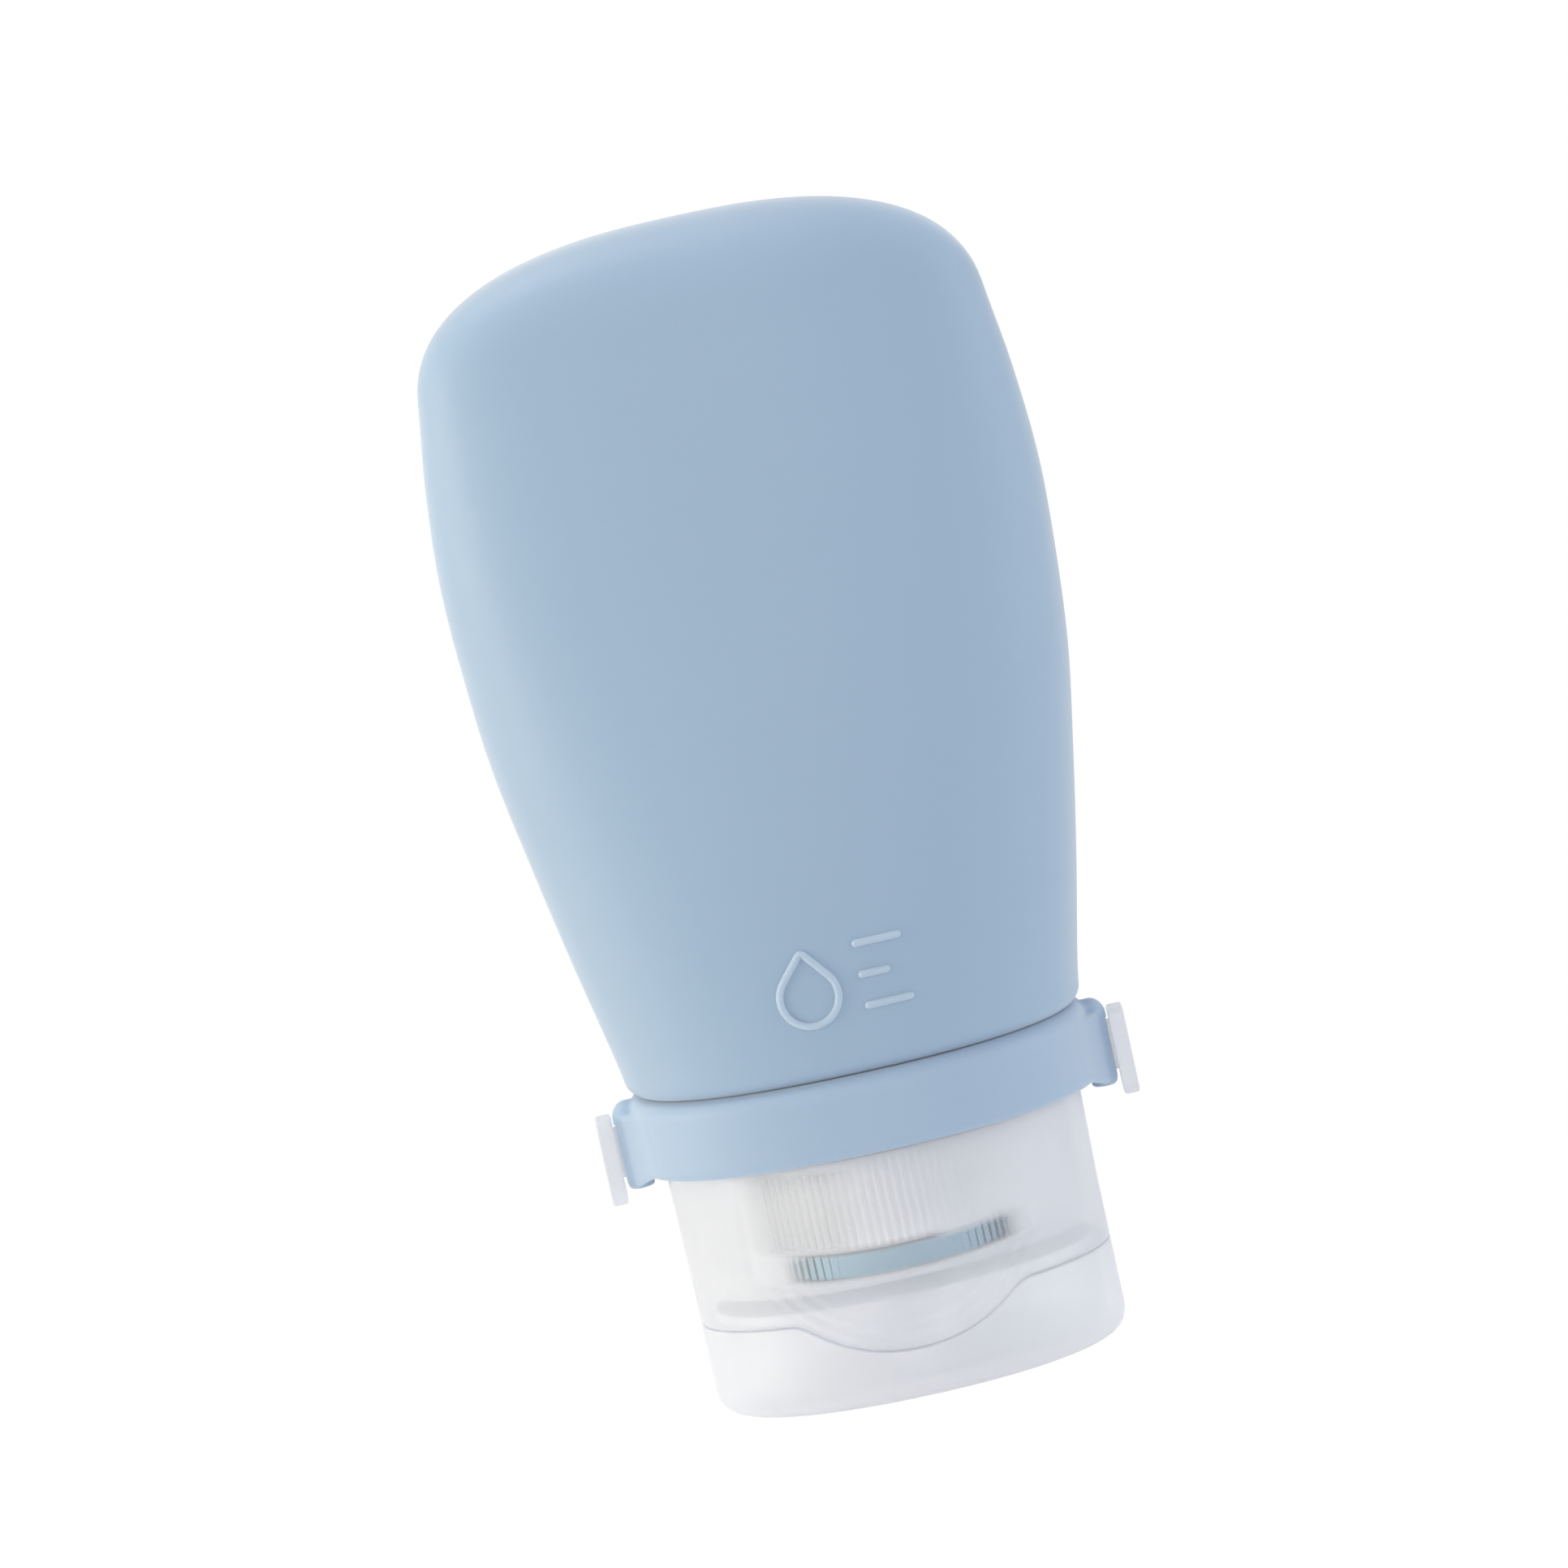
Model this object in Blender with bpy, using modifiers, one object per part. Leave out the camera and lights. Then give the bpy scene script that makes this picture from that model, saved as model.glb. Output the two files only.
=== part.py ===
"""Travel squeeze bottle, standing on its flip cap with the soft tail up.

Metres, +Z towards the tail. The origin is the middle of the lid's flat end,
+X points to the right-hand link plate and -Y to the front with the thumb notch.
The hinge of the lid is at the back, at +Y.
"""
import math

import bmesh
import bpy
from mathutils import Matrix

# Fits shared by all pieces
seat_gap = 0.0003
cut_overrun = 0.002
oval_sides = 48
round_sides = 40
notch_sides = 96
corner_steps = 3
smooth_degrees = 35
bevel_degrees = 40
weld_distance = 0.00001

# Closure: oval shell and flip lid
cap_half_width = 0.0195
cap_half_depth = 0.0156
cap_power = 2.15
cap_taper = 0.0002
cap_wall = 0.0015
lid_height = 0.0086
lid_end_wall = 0.0016
lid_end_radius = 0.0025
skirt_height = 0.0144
deck_step = 0.0008
deck_thickness = 0.0014
nozzle_outer_radius = 0.0046
nozzle_bore_radius = 0.0031
nozzle_length = 0.0022
plug_engagement = 0.0012
notch_width = 0.0206
notch_depth = 0.0039
tongue_inset = 0.0001
scoop_radius = 0.019
scoop_depth = 0.0008
scoop_rise = 0.0005

# Lid hinge: moulded barrels on a loose pin
barrel_radius = 0.0012
pin_radius = 0.0005
lid_barrel_length = 0.0078
shell_barrel_length = 0.0034
hinge_sides = 20

# Valve
valve_radius = 0.0105
valve_thickness = 0.0022
valve_chamfer = 0.0004
dome_radius = 0.0043
dome_height = 0.0014
dome_wall = 0.0007
dome_steps = 4
slit_length = 0.0045
slit_width = 0.0004

# Neck, thread and sleeve
neck_outer_radius = 0.0112
neck_wall = 0.0014
thread_height = 0.0008
thread_base_width = 0.0011
thread_crest_width = 0.0005
thread_lead = 0.006
thread_starts = 2
thread_turn_share = 0.55
thread_inset = 0.0013
thread_play = 0.0002
thread_root = 0.0003
sleeve_wall = 0.0011
rib_height = 0.00035
rib_count = 100
sleeve_length = 0.0112
flange_thickness = 0.0016
insert_wall = 0.0012
insert_height = 0.0054

# Collar and link plates
collar_height = 0.0073
collar_wall = 0.0023
collar_half_width = 0.0215
collar_half_depth = 0.0170
collar_top_radius = 0.0011
collar_foot_radius = 0.0006
nub_radius = 0.00125
nub_reach = 0.0231
nub_sink = 0.0003
nub_drop = 0.00125
nub_bore_radius = 0.00085
nub_well_depth = 0.0050
wing_start = 0.0203
wing_half_depth = 0.0061
wing_sink = 0.0008
wing_turn_degrees = 24
plate_thickness = 0.00145
plate_height = 0.0081
plate_depth = 0.0045
plate_drop = 0.0023
plate_edge = 0.0003
web_thickness = 0.0006
bead_radius = 0.00055
bead_setback = 0.0002

# Silicone body
body_height = 0.0784
body_half_width = 0.0281
body_half_depth = 0.0166
body_wall = 0.0017
body_foot_radius = 0.0011
body_neck_length = 0.0057
tail_arch_height = 0.0126
tail_edge_radius = 0.0085
tail_power = 2.5
crown_share = 0.985
skin_steps = 12
skin_arch_steps = 8
cavity_steps = 6
cavity_arch_steps = 5
section_power_foot = 2.25
section_power_tail = 2.7
width_shares = ((0.0, 0.754), (0.047, 0.776), (0.168, 0.845), (0.29, 0.908), (0.412, 0.964),
                (0.523, 0.990), (0.635, 1.0), (0.747, 0.979), (0.848, 0.942), (1.0, 0.90))
depth_shares = ((0.0, 1.0), (0.12, 0.995), (0.28, 0.955), (0.45, 0.87), (0.62, 0.745),
                (0.78, 0.60), (0.90, 0.49), (1.0, 0.42))

# Heights worked out from the sizes above
skirt_foot = lid_height + seat_gap
skirt_top = skirt_foot + skirt_height
deck_foot = skirt_foot + deck_step
deck_top = deck_foot + deck_thickness
valve_foot = deck_top + seat_gap
valve_top = valve_foot + valve_thickness
neck_rim = valve_top + seat_gap
collar_foot = skirt_top + seat_gap
collar_top = collar_foot + collar_height
body_foot = collar_top + seat_gap
body_top = body_foot + body_height
tail_arch_foot = body_top - tail_arch_height
tail_edge_foot = body_top - tail_edge_radius
nub_well_top = collar_foot + nub_well_depth
nub_centre = nub_reach - nub_radius
nozzle_foot = deck_foot - nozzle_length
thread_rise = thread_lead / (2 * math.pi)

# Radii and openings worked out from the sizes above
neck_bore_radius = neck_outer_radius - neck_wall
sleeve_bore_radius = neck_outer_radius + thread_height + seat_gap + seat_gap / 2
sleeve_outer_radius = sleeve_bore_radius + sleeve_wall
collar_bore_half_width = collar_half_width - collar_wall
collar_bore_half_depth = collar_half_depth - collar_wall
hinge_y = cap_half_depth + seat_gap / 2
hinge_z = lid_height + seat_gap / 2
lid_barrel_half = lid_barrel_length / 2
hinge_half = lid_barrel_half + seat_gap + shell_barrel_length


def clear_scene():
    for old in list(bpy.data.objects):
        bpy.data.objects.remove(old, do_unlink=True)


def new_collection(name):
    collection = bpy.data.collections.new(name)
    bpy.context.scene.collection.children.link(collection)
    return collection


def new_material(name, colour, roughness):
    material = bpy.data.materials.new(name)
    material.use_nodes = True
    shader = material.node_tree.nodes["Principled BSDF"]
    shader.inputs["Base Color"].default_value = (*colour, 1)
    shader.inputs["Roughness"].default_value = roughness
    shader.inputs["Metallic"].default_value = 0
    return material


def add_object(name, bm, collection):
    """Turn a bmesh into an object with its faces pointing out."""
    bmesh.ops.recalc_face_normals(bm, faces=bm.faces)
    mesh = bpy.data.meshes.new(name)
    bm.to_mesh(mesh)
    bm.free()
    mesh.shade_smooth()
    mesh.set_sharp_from_angle(angle=math.radians(smooth_degrees))
    piece = bpy.data.objects.new(name, mesh)
    collection.objects.link(piece)
    return piece


def add_part(name, bm, material, origin=(0, 0, 0)):
    """A sub-part whose origin can lie on a joint's axis."""
    bmesh.ops.translate(bm, verts=bm.verts, vec=[-place for place in origin])
    piece = add_object(name, bm, parts)
    piece.location = origin
    piece.data.materials.append(material)
    return piece


def add_cutter(name, bm):
    piece = add_object(name, bm, cutters)
    piece.hide_render = True
    piece.display_type = "WIRE"
    return piece


def combine(piece, other, operation):
    step = piece.modifiers.new(other.name, "BOOLEAN")
    step.operation = operation
    step.solver = "EXACT"
    step.object = other


def soften(piece, width):
    bevel = piece.modifiers.new("edge", "BEVEL")
    bevel.width = width
    bevel.segments = 1
    bevel.limit_method = "ANGLE"
    bevel.angle_limit = math.radians(bevel_degrees)


def signed_power(value, power):
    return math.copysign(abs(value) ** power, value)


def oval_ring(bm, station):
    """One ring of a superellipse |x/a|^p + |y/b|^p = 1 at height z."""
    z, half_width, half_depth, power = station
    ring = []
    for step in range(oval_sides):
        angle = 2 * math.pi * (step + 0.5) / oval_sides
        x = half_width * signed_power(math.cos(angle), 2 / power)
        y = half_depth * signed_power(math.sin(angle), 2 / power)
        ring.append(bm.verts.new((x, y, z)))
    return ring


def oval_sweep(stations, closed=False):
    """Join oval rings in order. Open sweeps get end caps, closed ones return to their start."""
    bm = bmesh.new()
    rings = [oval_ring(bm, station) for station in stations]
    pairs = list(zip(rings, rings[1:]))
    if closed:
        pairs.append((rings[-1], rings[0]))
    else:
        bm.faces.new(rings[0])
        bm.faces.new(rings[-1])
    for low, high in pairs:
        for step in range(oval_sides):
            after = (step + 1) % oval_sides
            bm.faces.new((low[step], low[after], high[after], high[step]))
    return bm


def inset(stations, wall):
    return [(z, width - wall, depth - wall, power) for z, width, depth, power in stations]


def corner_arc(radius, steps=corner_steps):
    """Shares of a quarter round: how far out and how far along, from its start to its end."""
    turns = [math.pi / 2 * step / steps for step in range(steps + 1)]
    return [(radius * (1 - math.sin(turn)), radius * (1 - math.cos(turn))) for turn in turns]


def turned(outline, sides=round_sides):
    """Turn a closed outline of (radius, height) about the Z axis into a ring or a solid."""
    mesh = bpy.data.meshes.new("outline")
    points = [(radius, 0, height) for radius, height in outline]
    links = [(step, (step + 1) % len(points)) for step in range(len(points))]
    if outline[0][0] == 0 and outline[-1][0] == 0:
        links.pop()
    mesh.from_pydata(points, links, [])
    guide = bpy.data.objects.new("outline", mesh)
    cutters.objects.link(guide)
    screw = guide.modifiers.new("turn", "SCREW")
    screw.axis = "Z"
    screw.steps = sides
    screw.render_steps = sides
    screw.use_merge_vertices = True
    screw.merge_threshold = weld_distance
    bpy.context.view_layer.update()
    evaluated = guide.evaluated_get(bpy.context.evaluated_depsgraph_get())
    bm = bmesh.new()
    bm.from_mesh(evaluated.to_mesh())
    evaluated.to_mesh_clear()
    bpy.data.objects.remove(guide, do_unlink=True)
    bmesh.ops.remove_doubles(bm, verts=bm.verts, dist=weld_distance)
    return bm


def rod(radius, start, end, axis="Z", sides=round_sides, centre=(0, 0)):
    """A cylinder along one axis from start to end. Centre gives its other two coordinates."""
    bm = bmesh.new()
    bmesh.ops.create_cone(bm, cap_ends=True, segments=sides, radius1=radius, radius2=radius,
                          depth=end - start)
    middle = (start + end) / 2
    if axis == "X":
        bmesh.ops.rotate(bm, verts=bm.verts, matrix=Matrix.Rotation(math.pi / 2, 3, "Y"))
        place = (middle, centre[0], centre[1])
    elif axis == "Y":
        bmesh.ops.rotate(bm, verts=bm.verts, matrix=Matrix.Rotation(math.pi / 2, 3, "X"))
        place = (centre[0], middle, centre[1])
    else:
        place = (centre[0], centre[1], middle)
    bmesh.ops.translate(bm, verts=bm.verts, vec=place)
    return bm


def block(low, high):
    bm = bmesh.new()
    bmesh.ops.create_cube(bm, size=1)
    sizes = [top - bottom for bottom, top in zip(low, high)]
    middle = [(top + bottom) / 2 for bottom, top in zip(low, high)]
    bmesh.ops.scale(bm, verts=bm.verts, vec=sizes)
    bmesh.ops.translate(bm, verts=bm.verts, vec=middle)
    return bm


def prism(plan, foot, top):
    """An upright prism over a convex outline of (x, y) points."""
    bm = bmesh.new()
    low, high = [[bm.verts.new((x, y, height)) for x, y in plan] for height in (foot, top)]
    bm.faces.new(low)
    bm.faces.new(high)
    for step in range(len(plan)):
        after = (step + 1) % len(plan)
        bm.faces.new((low[step], low[after], high[after], high[step]))
    return bm


def thread_ridge(root_radius, crest_radius, start_height, start_turn):
    """A trapezoid carried along a right-hand helix, rising one lead a turn."""
    bm = bmesh.new()
    steps = max(3, round(round_sides * thread_turn_share))
    sections = []
    for step in range(steps + 1):
        turn = 2 * math.pi * thread_turn_share * step / steps
        height = start_height + thread_rise * turn
        ring = []
        for radius, offset in ((root_radius, -thread_base_width / 2),
                               (crest_radius, -thread_crest_width / 2),
                               (crest_radius, thread_crest_width / 2),
                               (root_radius, thread_base_width / 2)):
            angle = start_turn + turn + math.pi / round_sides
            ring.append(bm.verts.new((radius * math.cos(angle), radius * math.sin(angle),
                                      height + offset)))
        sections.append(ring)
    bm.faces.new(sections[0])
    bm.faces.new(sections[-1])
    for low, high in zip(sections, sections[1:]):
        for step in range(4):
            after = (step + 1) % 4
            bm.faces.new((low[step], low[after], high[after], high[step]))
    return bm


def share_at(shares, place):
    """Read a table of shares with a smooth curve through its points."""
    spots = [spot for spot, value in shares]
    values = [value for spot, value in shares]
    last = len(spots) - 1
    index = min(max(sum(spot <= place for spot in spots) - 1, 0), last - 1)
    slopes = []
    for point in (index, index + 1):
        before, after = max(point - 1, 0), min(point + 1, last)
        slopes.append((values[after] - values[before]) / (spots[after] - spots[before]))
    step = spots[index + 1] - spots[index]
    along = (place - spots[index]) / step
    rise = values[index + 1] - values[index]
    start, end = slopes[0] * step, slopes[1] * step
    return (values[index] + start * along + (3 * rise - 2 * start - end) * along ** 2
            + (start + end - 2 * rise) * along ** 3)


def body_section(height, wall=0):
    """Half width, half depth and power of the body's skin at a height, moved in by a wall."""
    share = (height - body_foot) / body_height
    arch = max(0, (height - tail_arch_foot) / (tail_arch_height - wall))
    edge = max(0, (height - tail_edge_foot) / (tail_edge_radius - wall))
    width = body_half_width * share_at(width_shares, share) - wall
    depth = body_half_depth * share_at(depth_shares, share) - wall
    width *= (1 - arch ** tail_power) ** (1 / tail_power)
    depth *= (1 - edge ** tail_power) ** (1 / tail_power)
    power = section_power_foot + (section_power_tail - section_power_foot) * share
    return width, depth, power


def body_skin(foot, straight_steps, arch_steps, wall=0):
    """Stations of the body's skin from its foot to the crown of the tail."""
    heights = [foot + (tail_arch_foot - foot) * step / straight_steps for step in range(straight_steps)]
    for step in range(arch_steps + 1):
        rise = math.sin(math.pi / 2 * crown_share * step / arch_steps)
        heights.append(tail_arch_foot + (tail_arch_height - wall) * rise)
    return [(height, *body_section(height, wall)) for height in heights]


def make_body():
    """Soft body: one silicone skin, open at an oval neck that the collar clamps."""
    shoulder = body_foot + body_foot_radius
    width, depth, power = body_section(shoulder)
    foot = []
    for inward, upward in corner_arc(body_foot_radius)[:-1]:
        foot.append((body_foot + upward, width - inward, depth - inward, power))
    neck_foot = body_foot - body_neck_length
    neck_half_width = collar_bore_half_width - seat_gap
    neck_half_depth = collar_bore_half_depth - seat_gap
    neck = [(height, neck_half_width, neck_half_depth, power) for height in (neck_foot, body_foot)]
    throat = inset([(height, neck_half_width, neck_half_depth, power)
                    for height in (neck_foot, shoulder)], body_wall)
    inside = throat + body_skin(shoulder + body_wall, cavity_steps, cavity_arch_steps, body_wall)
    outside = neck + foot + body_skin(shoulder, skin_steps, skin_arch_steps)
    skin = oval_sweep(inside[::-1] + outside)
    add_part("bottle_body", skin, silicone_blue)


def make_neck_spout():
    """Rigid spout: a threaded tube on an oval flange, with an upstand inside the silicone neck."""
    flange_top = collar_foot + flange_thickness
    half_width = collar_bore_half_width - seat_gap
    half_depth = collar_bore_half_depth - seat_gap
    flange = add_part("neck_spout", oval_sweep([
        (collar_foot, half_width, half_depth, section_power_foot),
        (flange_top, half_width, half_depth, section_power_foot)]), natural_pp)
    upstand_width = half_width - body_wall - seat_gap
    upstand_depth = half_depth - body_wall - seat_gap
    overlap = flange_thickness / 2
    outer = [(flange_top - overlap, upstand_width, upstand_depth, section_power_foot),
             (flange_top + insert_height, upstand_width, upstand_depth, section_power_foot)]
    upstand = oval_sweep(outer + inset(outer, insert_wall)[::-1], closed=True)
    combine(flange, add_cutter("upstand", upstand), "UNION")
    tube = rod(neck_outer_radius, neck_rim, collar_foot + overlap)
    combine(flange, add_cutter("spout_tube", tube), "UNION")
    for start in range(thread_starts):
        ridge = thread_ridge(neck_outer_radius - thread_root, neck_outer_radius + thread_height,
                             neck_rim + thread_inset, 2 * math.pi * start / thread_starts)
        combine(flange, add_cutter(f"spout_thread_{start + 1}", ridge), "UNION")
    bore = rod(neck_bore_radius, neck_rim - cut_overrun, flange_top + cut_overrun)
    combine(flange, add_cutter("spout_bore", bore), "DIFFERENCE")


def make_collar():
    """Blue oval band with an upright round nub at each end, slotted for the link plates.

    A flat wing carries the band's face out to the nub, and ends a little below the band's top."""
    foot = [(collar_foot + upward, collar_half_width - inward, collar_half_depth - inward,
             section_power_foot) for inward, upward in corner_arc(collar_foot_radius, 2)]
    crest = [(collar_top - upward, collar_half_width - inward, collar_half_depth - inward,
              section_power_foot) for inward, upward in corner_arc(collar_top_radius)]
    bore = [(height, collar_bore_half_width, collar_bore_half_depth, section_power_foot)
            for height in (collar_top, collar_foot)]
    band = add_part("collar_band", oval_sweep(foot + crest[::-1] + bore, closed=True), silicone_blue)
    nub_top = collar_top - nub_sink
    dome_foot = nub_top - nub_radius
    outline = [(0, nub_top)]
    for step in range(1, corner_steps + 1):
        turn = math.pi / 2 * step / corner_steps
        outline.append((nub_radius * math.sin(turn), dome_foot + nub_radius * math.cos(turn)))
    outline += [(nub_radius, collar_foot - nub_drop), (0, collar_foot - nub_drop)]
    nub = turned(outline, hinge_sides)
    bmesh.ops.translate(nub, verts=nub.verts, vec=(-nub_centre, 0, 0))
    combine(band, add_cutter("nub", nub), "UNION")
    wing_turn = math.radians(wing_turn_degrees)
    wing_plan = [(-wing_start, -wing_half_depth)]
    for turn in (-wing_turn, 0, wing_turn):
        wing_plan.append((-nub_centre - nub_radius * math.cos(turn), nub_radius * math.sin(turn)))
    wing_plan.append((-wing_start, wing_half_depth))
    wing = prism(wing_plan, collar_foot + seat_gap, collar_top - wing_sink)
    combine(band, add_cutter("wing", wing), "UNION")
    well = add_cutter("nub_well", rod(
        nub_bore_radius, collar_foot - cut_overrun, nub_well_top + seat_gap, sides=hinge_sides,
        centre=(-nub_centre, 0)))
    slot_half = web_thickness / 2 + seat_gap
    slot = block((-nub_reach - cut_overrun, -slot_half, collar_foot - 2 * cut_overrun),
                 (-nub_centre, slot_half, nub_well_top))
    combine(well, add_cutter("nub_slot", slot), "UNION")
    combine(band, well, "DIFFERENCE")
    other_end = band.modifiers.new("other_end", "MIRROR")
    other_end.use_bisect_axis[0] = True
    other_end.use_bisect_flip_axis[0] = True
    other_end.merge_threshold = weld_distance


def make_link_plate(side, name):
    """Flat plate on a thin web whose round bead sits in the nub's well."""
    inner = side * (nub_reach + seat_gap)
    outer = inner + side * plate_thickness
    middle = (inner + outer) / 2
    ends = sorted((inner, outer))
    foot = collar_foot - plate_drop
    plate = add_part(f"link_plate_{name}", block(
        (ends[0], -plate_depth / 2, foot), (ends[1], plate_depth / 2, foot + plate_height)),
        natural_pp)
    soften(plate, plate_edge)
    web_ends = sorted((side * nub_centre, middle))
    web_top = nub_well_top - seat_gap
    web = block((web_ends[0], -web_thickness / 2, collar_foot),
                (web_ends[1], web_thickness / 2, web_top))
    combine(plate, add_cutter(f"plate_web_{name}", web), "UNION")
    bead = rod(bead_radius, collar_foot + bead_setback, web_top - bead_setback, sides=hinge_sides,
               centre=(side * nub_centre, 0))
    combine(plate, add_cutter(f"plate_bead_{name}", bead), "UNION")


def notch_disc(clearance):
    """The round front notch of the lid, as a disc across the front wall."""
    radius = (notch_width ** 2 / 4 + notch_depth ** 2) / (2 * notch_depth)
    front = -cap_half_depth - cut_overrun
    back = -cap_half_depth + cap_wall + cut_overrun / 2
    return rod(radius - clearance, front, back, axis="Y", sides=notch_sides,
               centre=(0, lid_height - notch_depth + radius))


def make_lid():
    """Flip lid: a shallow oval cup with a plug for the nozzle and one hinge barrel at the back."""
    half_width = cap_half_width - cap_taper
    half_depth = cap_half_depth - cap_taper
    outer = [(upward, half_width - inward, half_depth - inward, cap_power)
             for inward, upward in corner_arc(lid_end_radius, corner_steps + 2)]
    outer.append((lid_height, half_width, half_depth, cap_power))
    inner = [(lid_end_wall + upward, half_width - cap_wall - inward, half_depth - cap_wall - inward,
              cap_power) for inward, upward in corner_arc(lid_end_radius - cap_wall / 2)]
    inner.append((lid_height, half_width - cap_wall, half_depth - cap_wall, cap_power))
    lid = add_part("flip_lid", oval_sweep(inner + outer[::-1]), frosted_pp, (0, hinge_y, hinge_z))
    combine(lid, add_cutter("lid_notch", notch_disc(0)), "DIFFERENCE")
    plug = rod(nozzle_bore_radius - seat_gap, lid_end_wall / 2, nozzle_foot + plug_engagement)
    combine(lid, add_cutter("lid_plug", plug), "UNION")
    for side in (-1, 1):
        ends = sorted((side * (lid_barrel_half - seat_gap), side * (hinge_half + seat_gap)))
        relief = hinge_rod(barrel_radius + seat_gap, *ends)
        combine(lid, add_cutter(f"lid_relief_{side}", relief), "DIFFERENCE")
    combine(lid, add_cutter("lid_barrel", hinge_rod(barrel_radius, -lid_barrel_half, lid_barrel_half)),
            "UNION")
    combine(lid, hinge_bore, "DIFFERENCE")


def make_shell():
    """Oval shell of the closure: a skirt with a deck, a nozzle, a front tongue and two barrels."""
    foot_width = cap_half_width - cap_taper
    foot_depth = cap_half_depth - cap_taper
    stations = [(skirt_foot, foot_width, foot_depth, cap_power),
                (skirt_top, cap_half_width, cap_half_depth, cap_power)]
    shell = add_part("cap_shell", oval_sweep(stations), frosted_pp)
    recess = [(height, foot_width - cap_wall, foot_depth - cap_wall, cap_power)
              for height in (skirt_foot - cut_overrun, deck_foot)]
    combine(shell, add_cutter("shell_recess", oval_sweep(recess)), "DIFFERENCE")
    well = [(deck_top, foot_width - cap_wall, foot_depth - cap_wall, cap_power),
            (skirt_top + cut_overrun, cap_half_width - cap_wall, cap_half_depth - cap_wall, cap_power)]
    combine(shell, add_cutter("shell_well", oval_sweep(well)), "DIFFERENCE")

    tongue_outer = [(height, foot_width - tongue_inset, foot_depth - tongue_inset, cap_power)
                    for height in (lid_height - notch_depth, skirt_foot + deck_step / 2)]
    tongue_inner = inset(tongue_outer, cap_wall - 2 * tongue_inset)
    tongue = add_cutter("tongue", oval_sweep(tongue_outer + tongue_inner[::-1], closed=True))
    combine(tongue, add_cutter("tongue_disc", notch_disc(seat_gap)), "INTERSECT")
    combine(shell, tongue, "UNION")
    dish = bmesh.new()
    bmesh.ops.create_uvsphere(dish, u_segments=round_sides, v_segments=round_sides // 2,
                              radius=scoop_radius)
    bmesh.ops.translate(dish, verts=dish.verts, vec=(
        0, scoop_depth - cap_half_depth - scoop_radius, lid_height - notch_depth + scoop_rise))
    combine(shell, add_cutter("scoop", dish), "DIFFERENCE")

    nozzle = rod(nozzle_outer_radius, nozzle_foot, deck_foot + deck_thickness / 2)
    combine(shell, add_cutter("nozzle", nozzle), "UNION")
    bore = rod(nozzle_bore_radius, nozzle_foot - cut_overrun, deck_top + cut_overrun)
    combine(shell, add_cutter("nozzle_bore", bore), "DIFFERENCE")

    relief_half = lid_barrel_half + 2 * seat_gap
    relief = hinge_rod(barrel_radius + seat_gap, -relief_half, relief_half)
    combine(shell, add_cutter("shell_relief", relief), "DIFFERENCE")
    for side in (-1, 1):
        ends = sorted((side * (lid_barrel_half + seat_gap), side * hinge_half))
        barrel = hinge_rod(barrel_radius, *ends)
        combine(shell, add_cutter(f"shell_barrel_{side}", barrel), "UNION")
    combine(shell, hinge_bore, "DIFFERENCE")


def hinge_rod(radius, start, end):
    return rod(radius, start, end, axis="X", sides=hinge_sides, centre=(hinge_y, hinge_z))


def make_hinge_pin():
    """Loose pin through the three hinge barrels."""
    add_part("hinge_pin", hinge_rod(pin_radius, -hinge_half, hinge_half), natural_pp,
             (0, hinge_y, hinge_z))


def make_sleeve():
    """Round threaded sleeve pressed into the shell, ribbed outside to hold its turn."""
    foot = deck_top + seat_gap
    bm = bmesh.new()
    points = 2 * rib_count
    bmesh.ops.create_cone(bm, cap_ends=True, segments=points, radius1=sleeve_outer_radius,
                          radius2=sleeve_outer_radius, depth=sleeve_length)
    bmesh.ops.translate(bm, verts=bm.verts, vec=(0, 0, foot + sleeve_length / 2))
    valley_share = 1 - rib_height / sleeve_outer_radius
    for vert in bm.verts:
        step = round(math.atan2(vert.co.y, vert.co.x) / (2 * math.pi) * points - 0.25)
        if step % 2:
            vert.co.x *= valley_share
            vert.co.y *= valley_share
    sleeve = add_part("thread_sleeve", bm, natural_pp)
    bore = rod(sleeve_bore_radius, foot - cut_overrun, foot + sleeve_length + cut_overrun)
    combine(sleeve, add_cutter("sleeve_bore", bore), "DIFFERENCE")
    lift = (thread_base_width + thread_crest_width) / 2 + thread_play
    for start in range(thread_starts):
        ridge = thread_ridge(sleeve_bore_radius + thread_root, sleeve_bore_radius - thread_height,
                             neck_rim + thread_inset + lift, 2 * math.pi * start / thread_starts)
        combine(sleeve, add_cutter(f"sleeve_thread_{start + 1}", ridge), "UNION")


def make_valve():
    """Silicone disc that seals the neck, with a slit dome over the nozzle."""
    base = dome_radius
    height = dome_height
    sphere_radius = (base ** 2 + height ** 2) / (2 * height)
    dome = []
    for step in range(dome_steps):
        radius = base * step / dome_steps
        rise = math.sqrt(sphere_radius ** 2 - radius ** 2) - (sphere_radius - height)
        dome.append((radius, valve_top + rise))
    rim = [(base, valve_top), (valve_radius - valve_chamfer, valve_top),
           (valve_radius, valve_top - valve_chamfer),
           (valve_radius, valve_foot + valve_chamfer),
           (valve_radius - valve_chamfer, valve_foot)]
    hollow = [(base - dome_wall, valve_foot), (base - dome_wall, valve_top - dome_wall / 2)]
    hollow += [(radius, rise - dome_wall) for radius, rise in dome[-2::-1]]
    valve = add_part("slit_valve", turned(dome + rim + hollow), silicone_blue)
    for name, half_x, half_y in (("wide", slit_length / 2, slit_width / 2),
                                 ("deep", slit_width / 2, slit_length / 2)):
        slit = block((-half_x, -half_y, valve_foot - cut_overrun),
                     (half_x, half_y, valve_top + height + cut_overrun))
        combine(valve, add_cutter(f"slit_{name}", slit), "DIFFERENCE")


clear_scene()
parts = new_collection("travel_squeeze_bottle")
cutters = new_collection("cutters")

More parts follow.
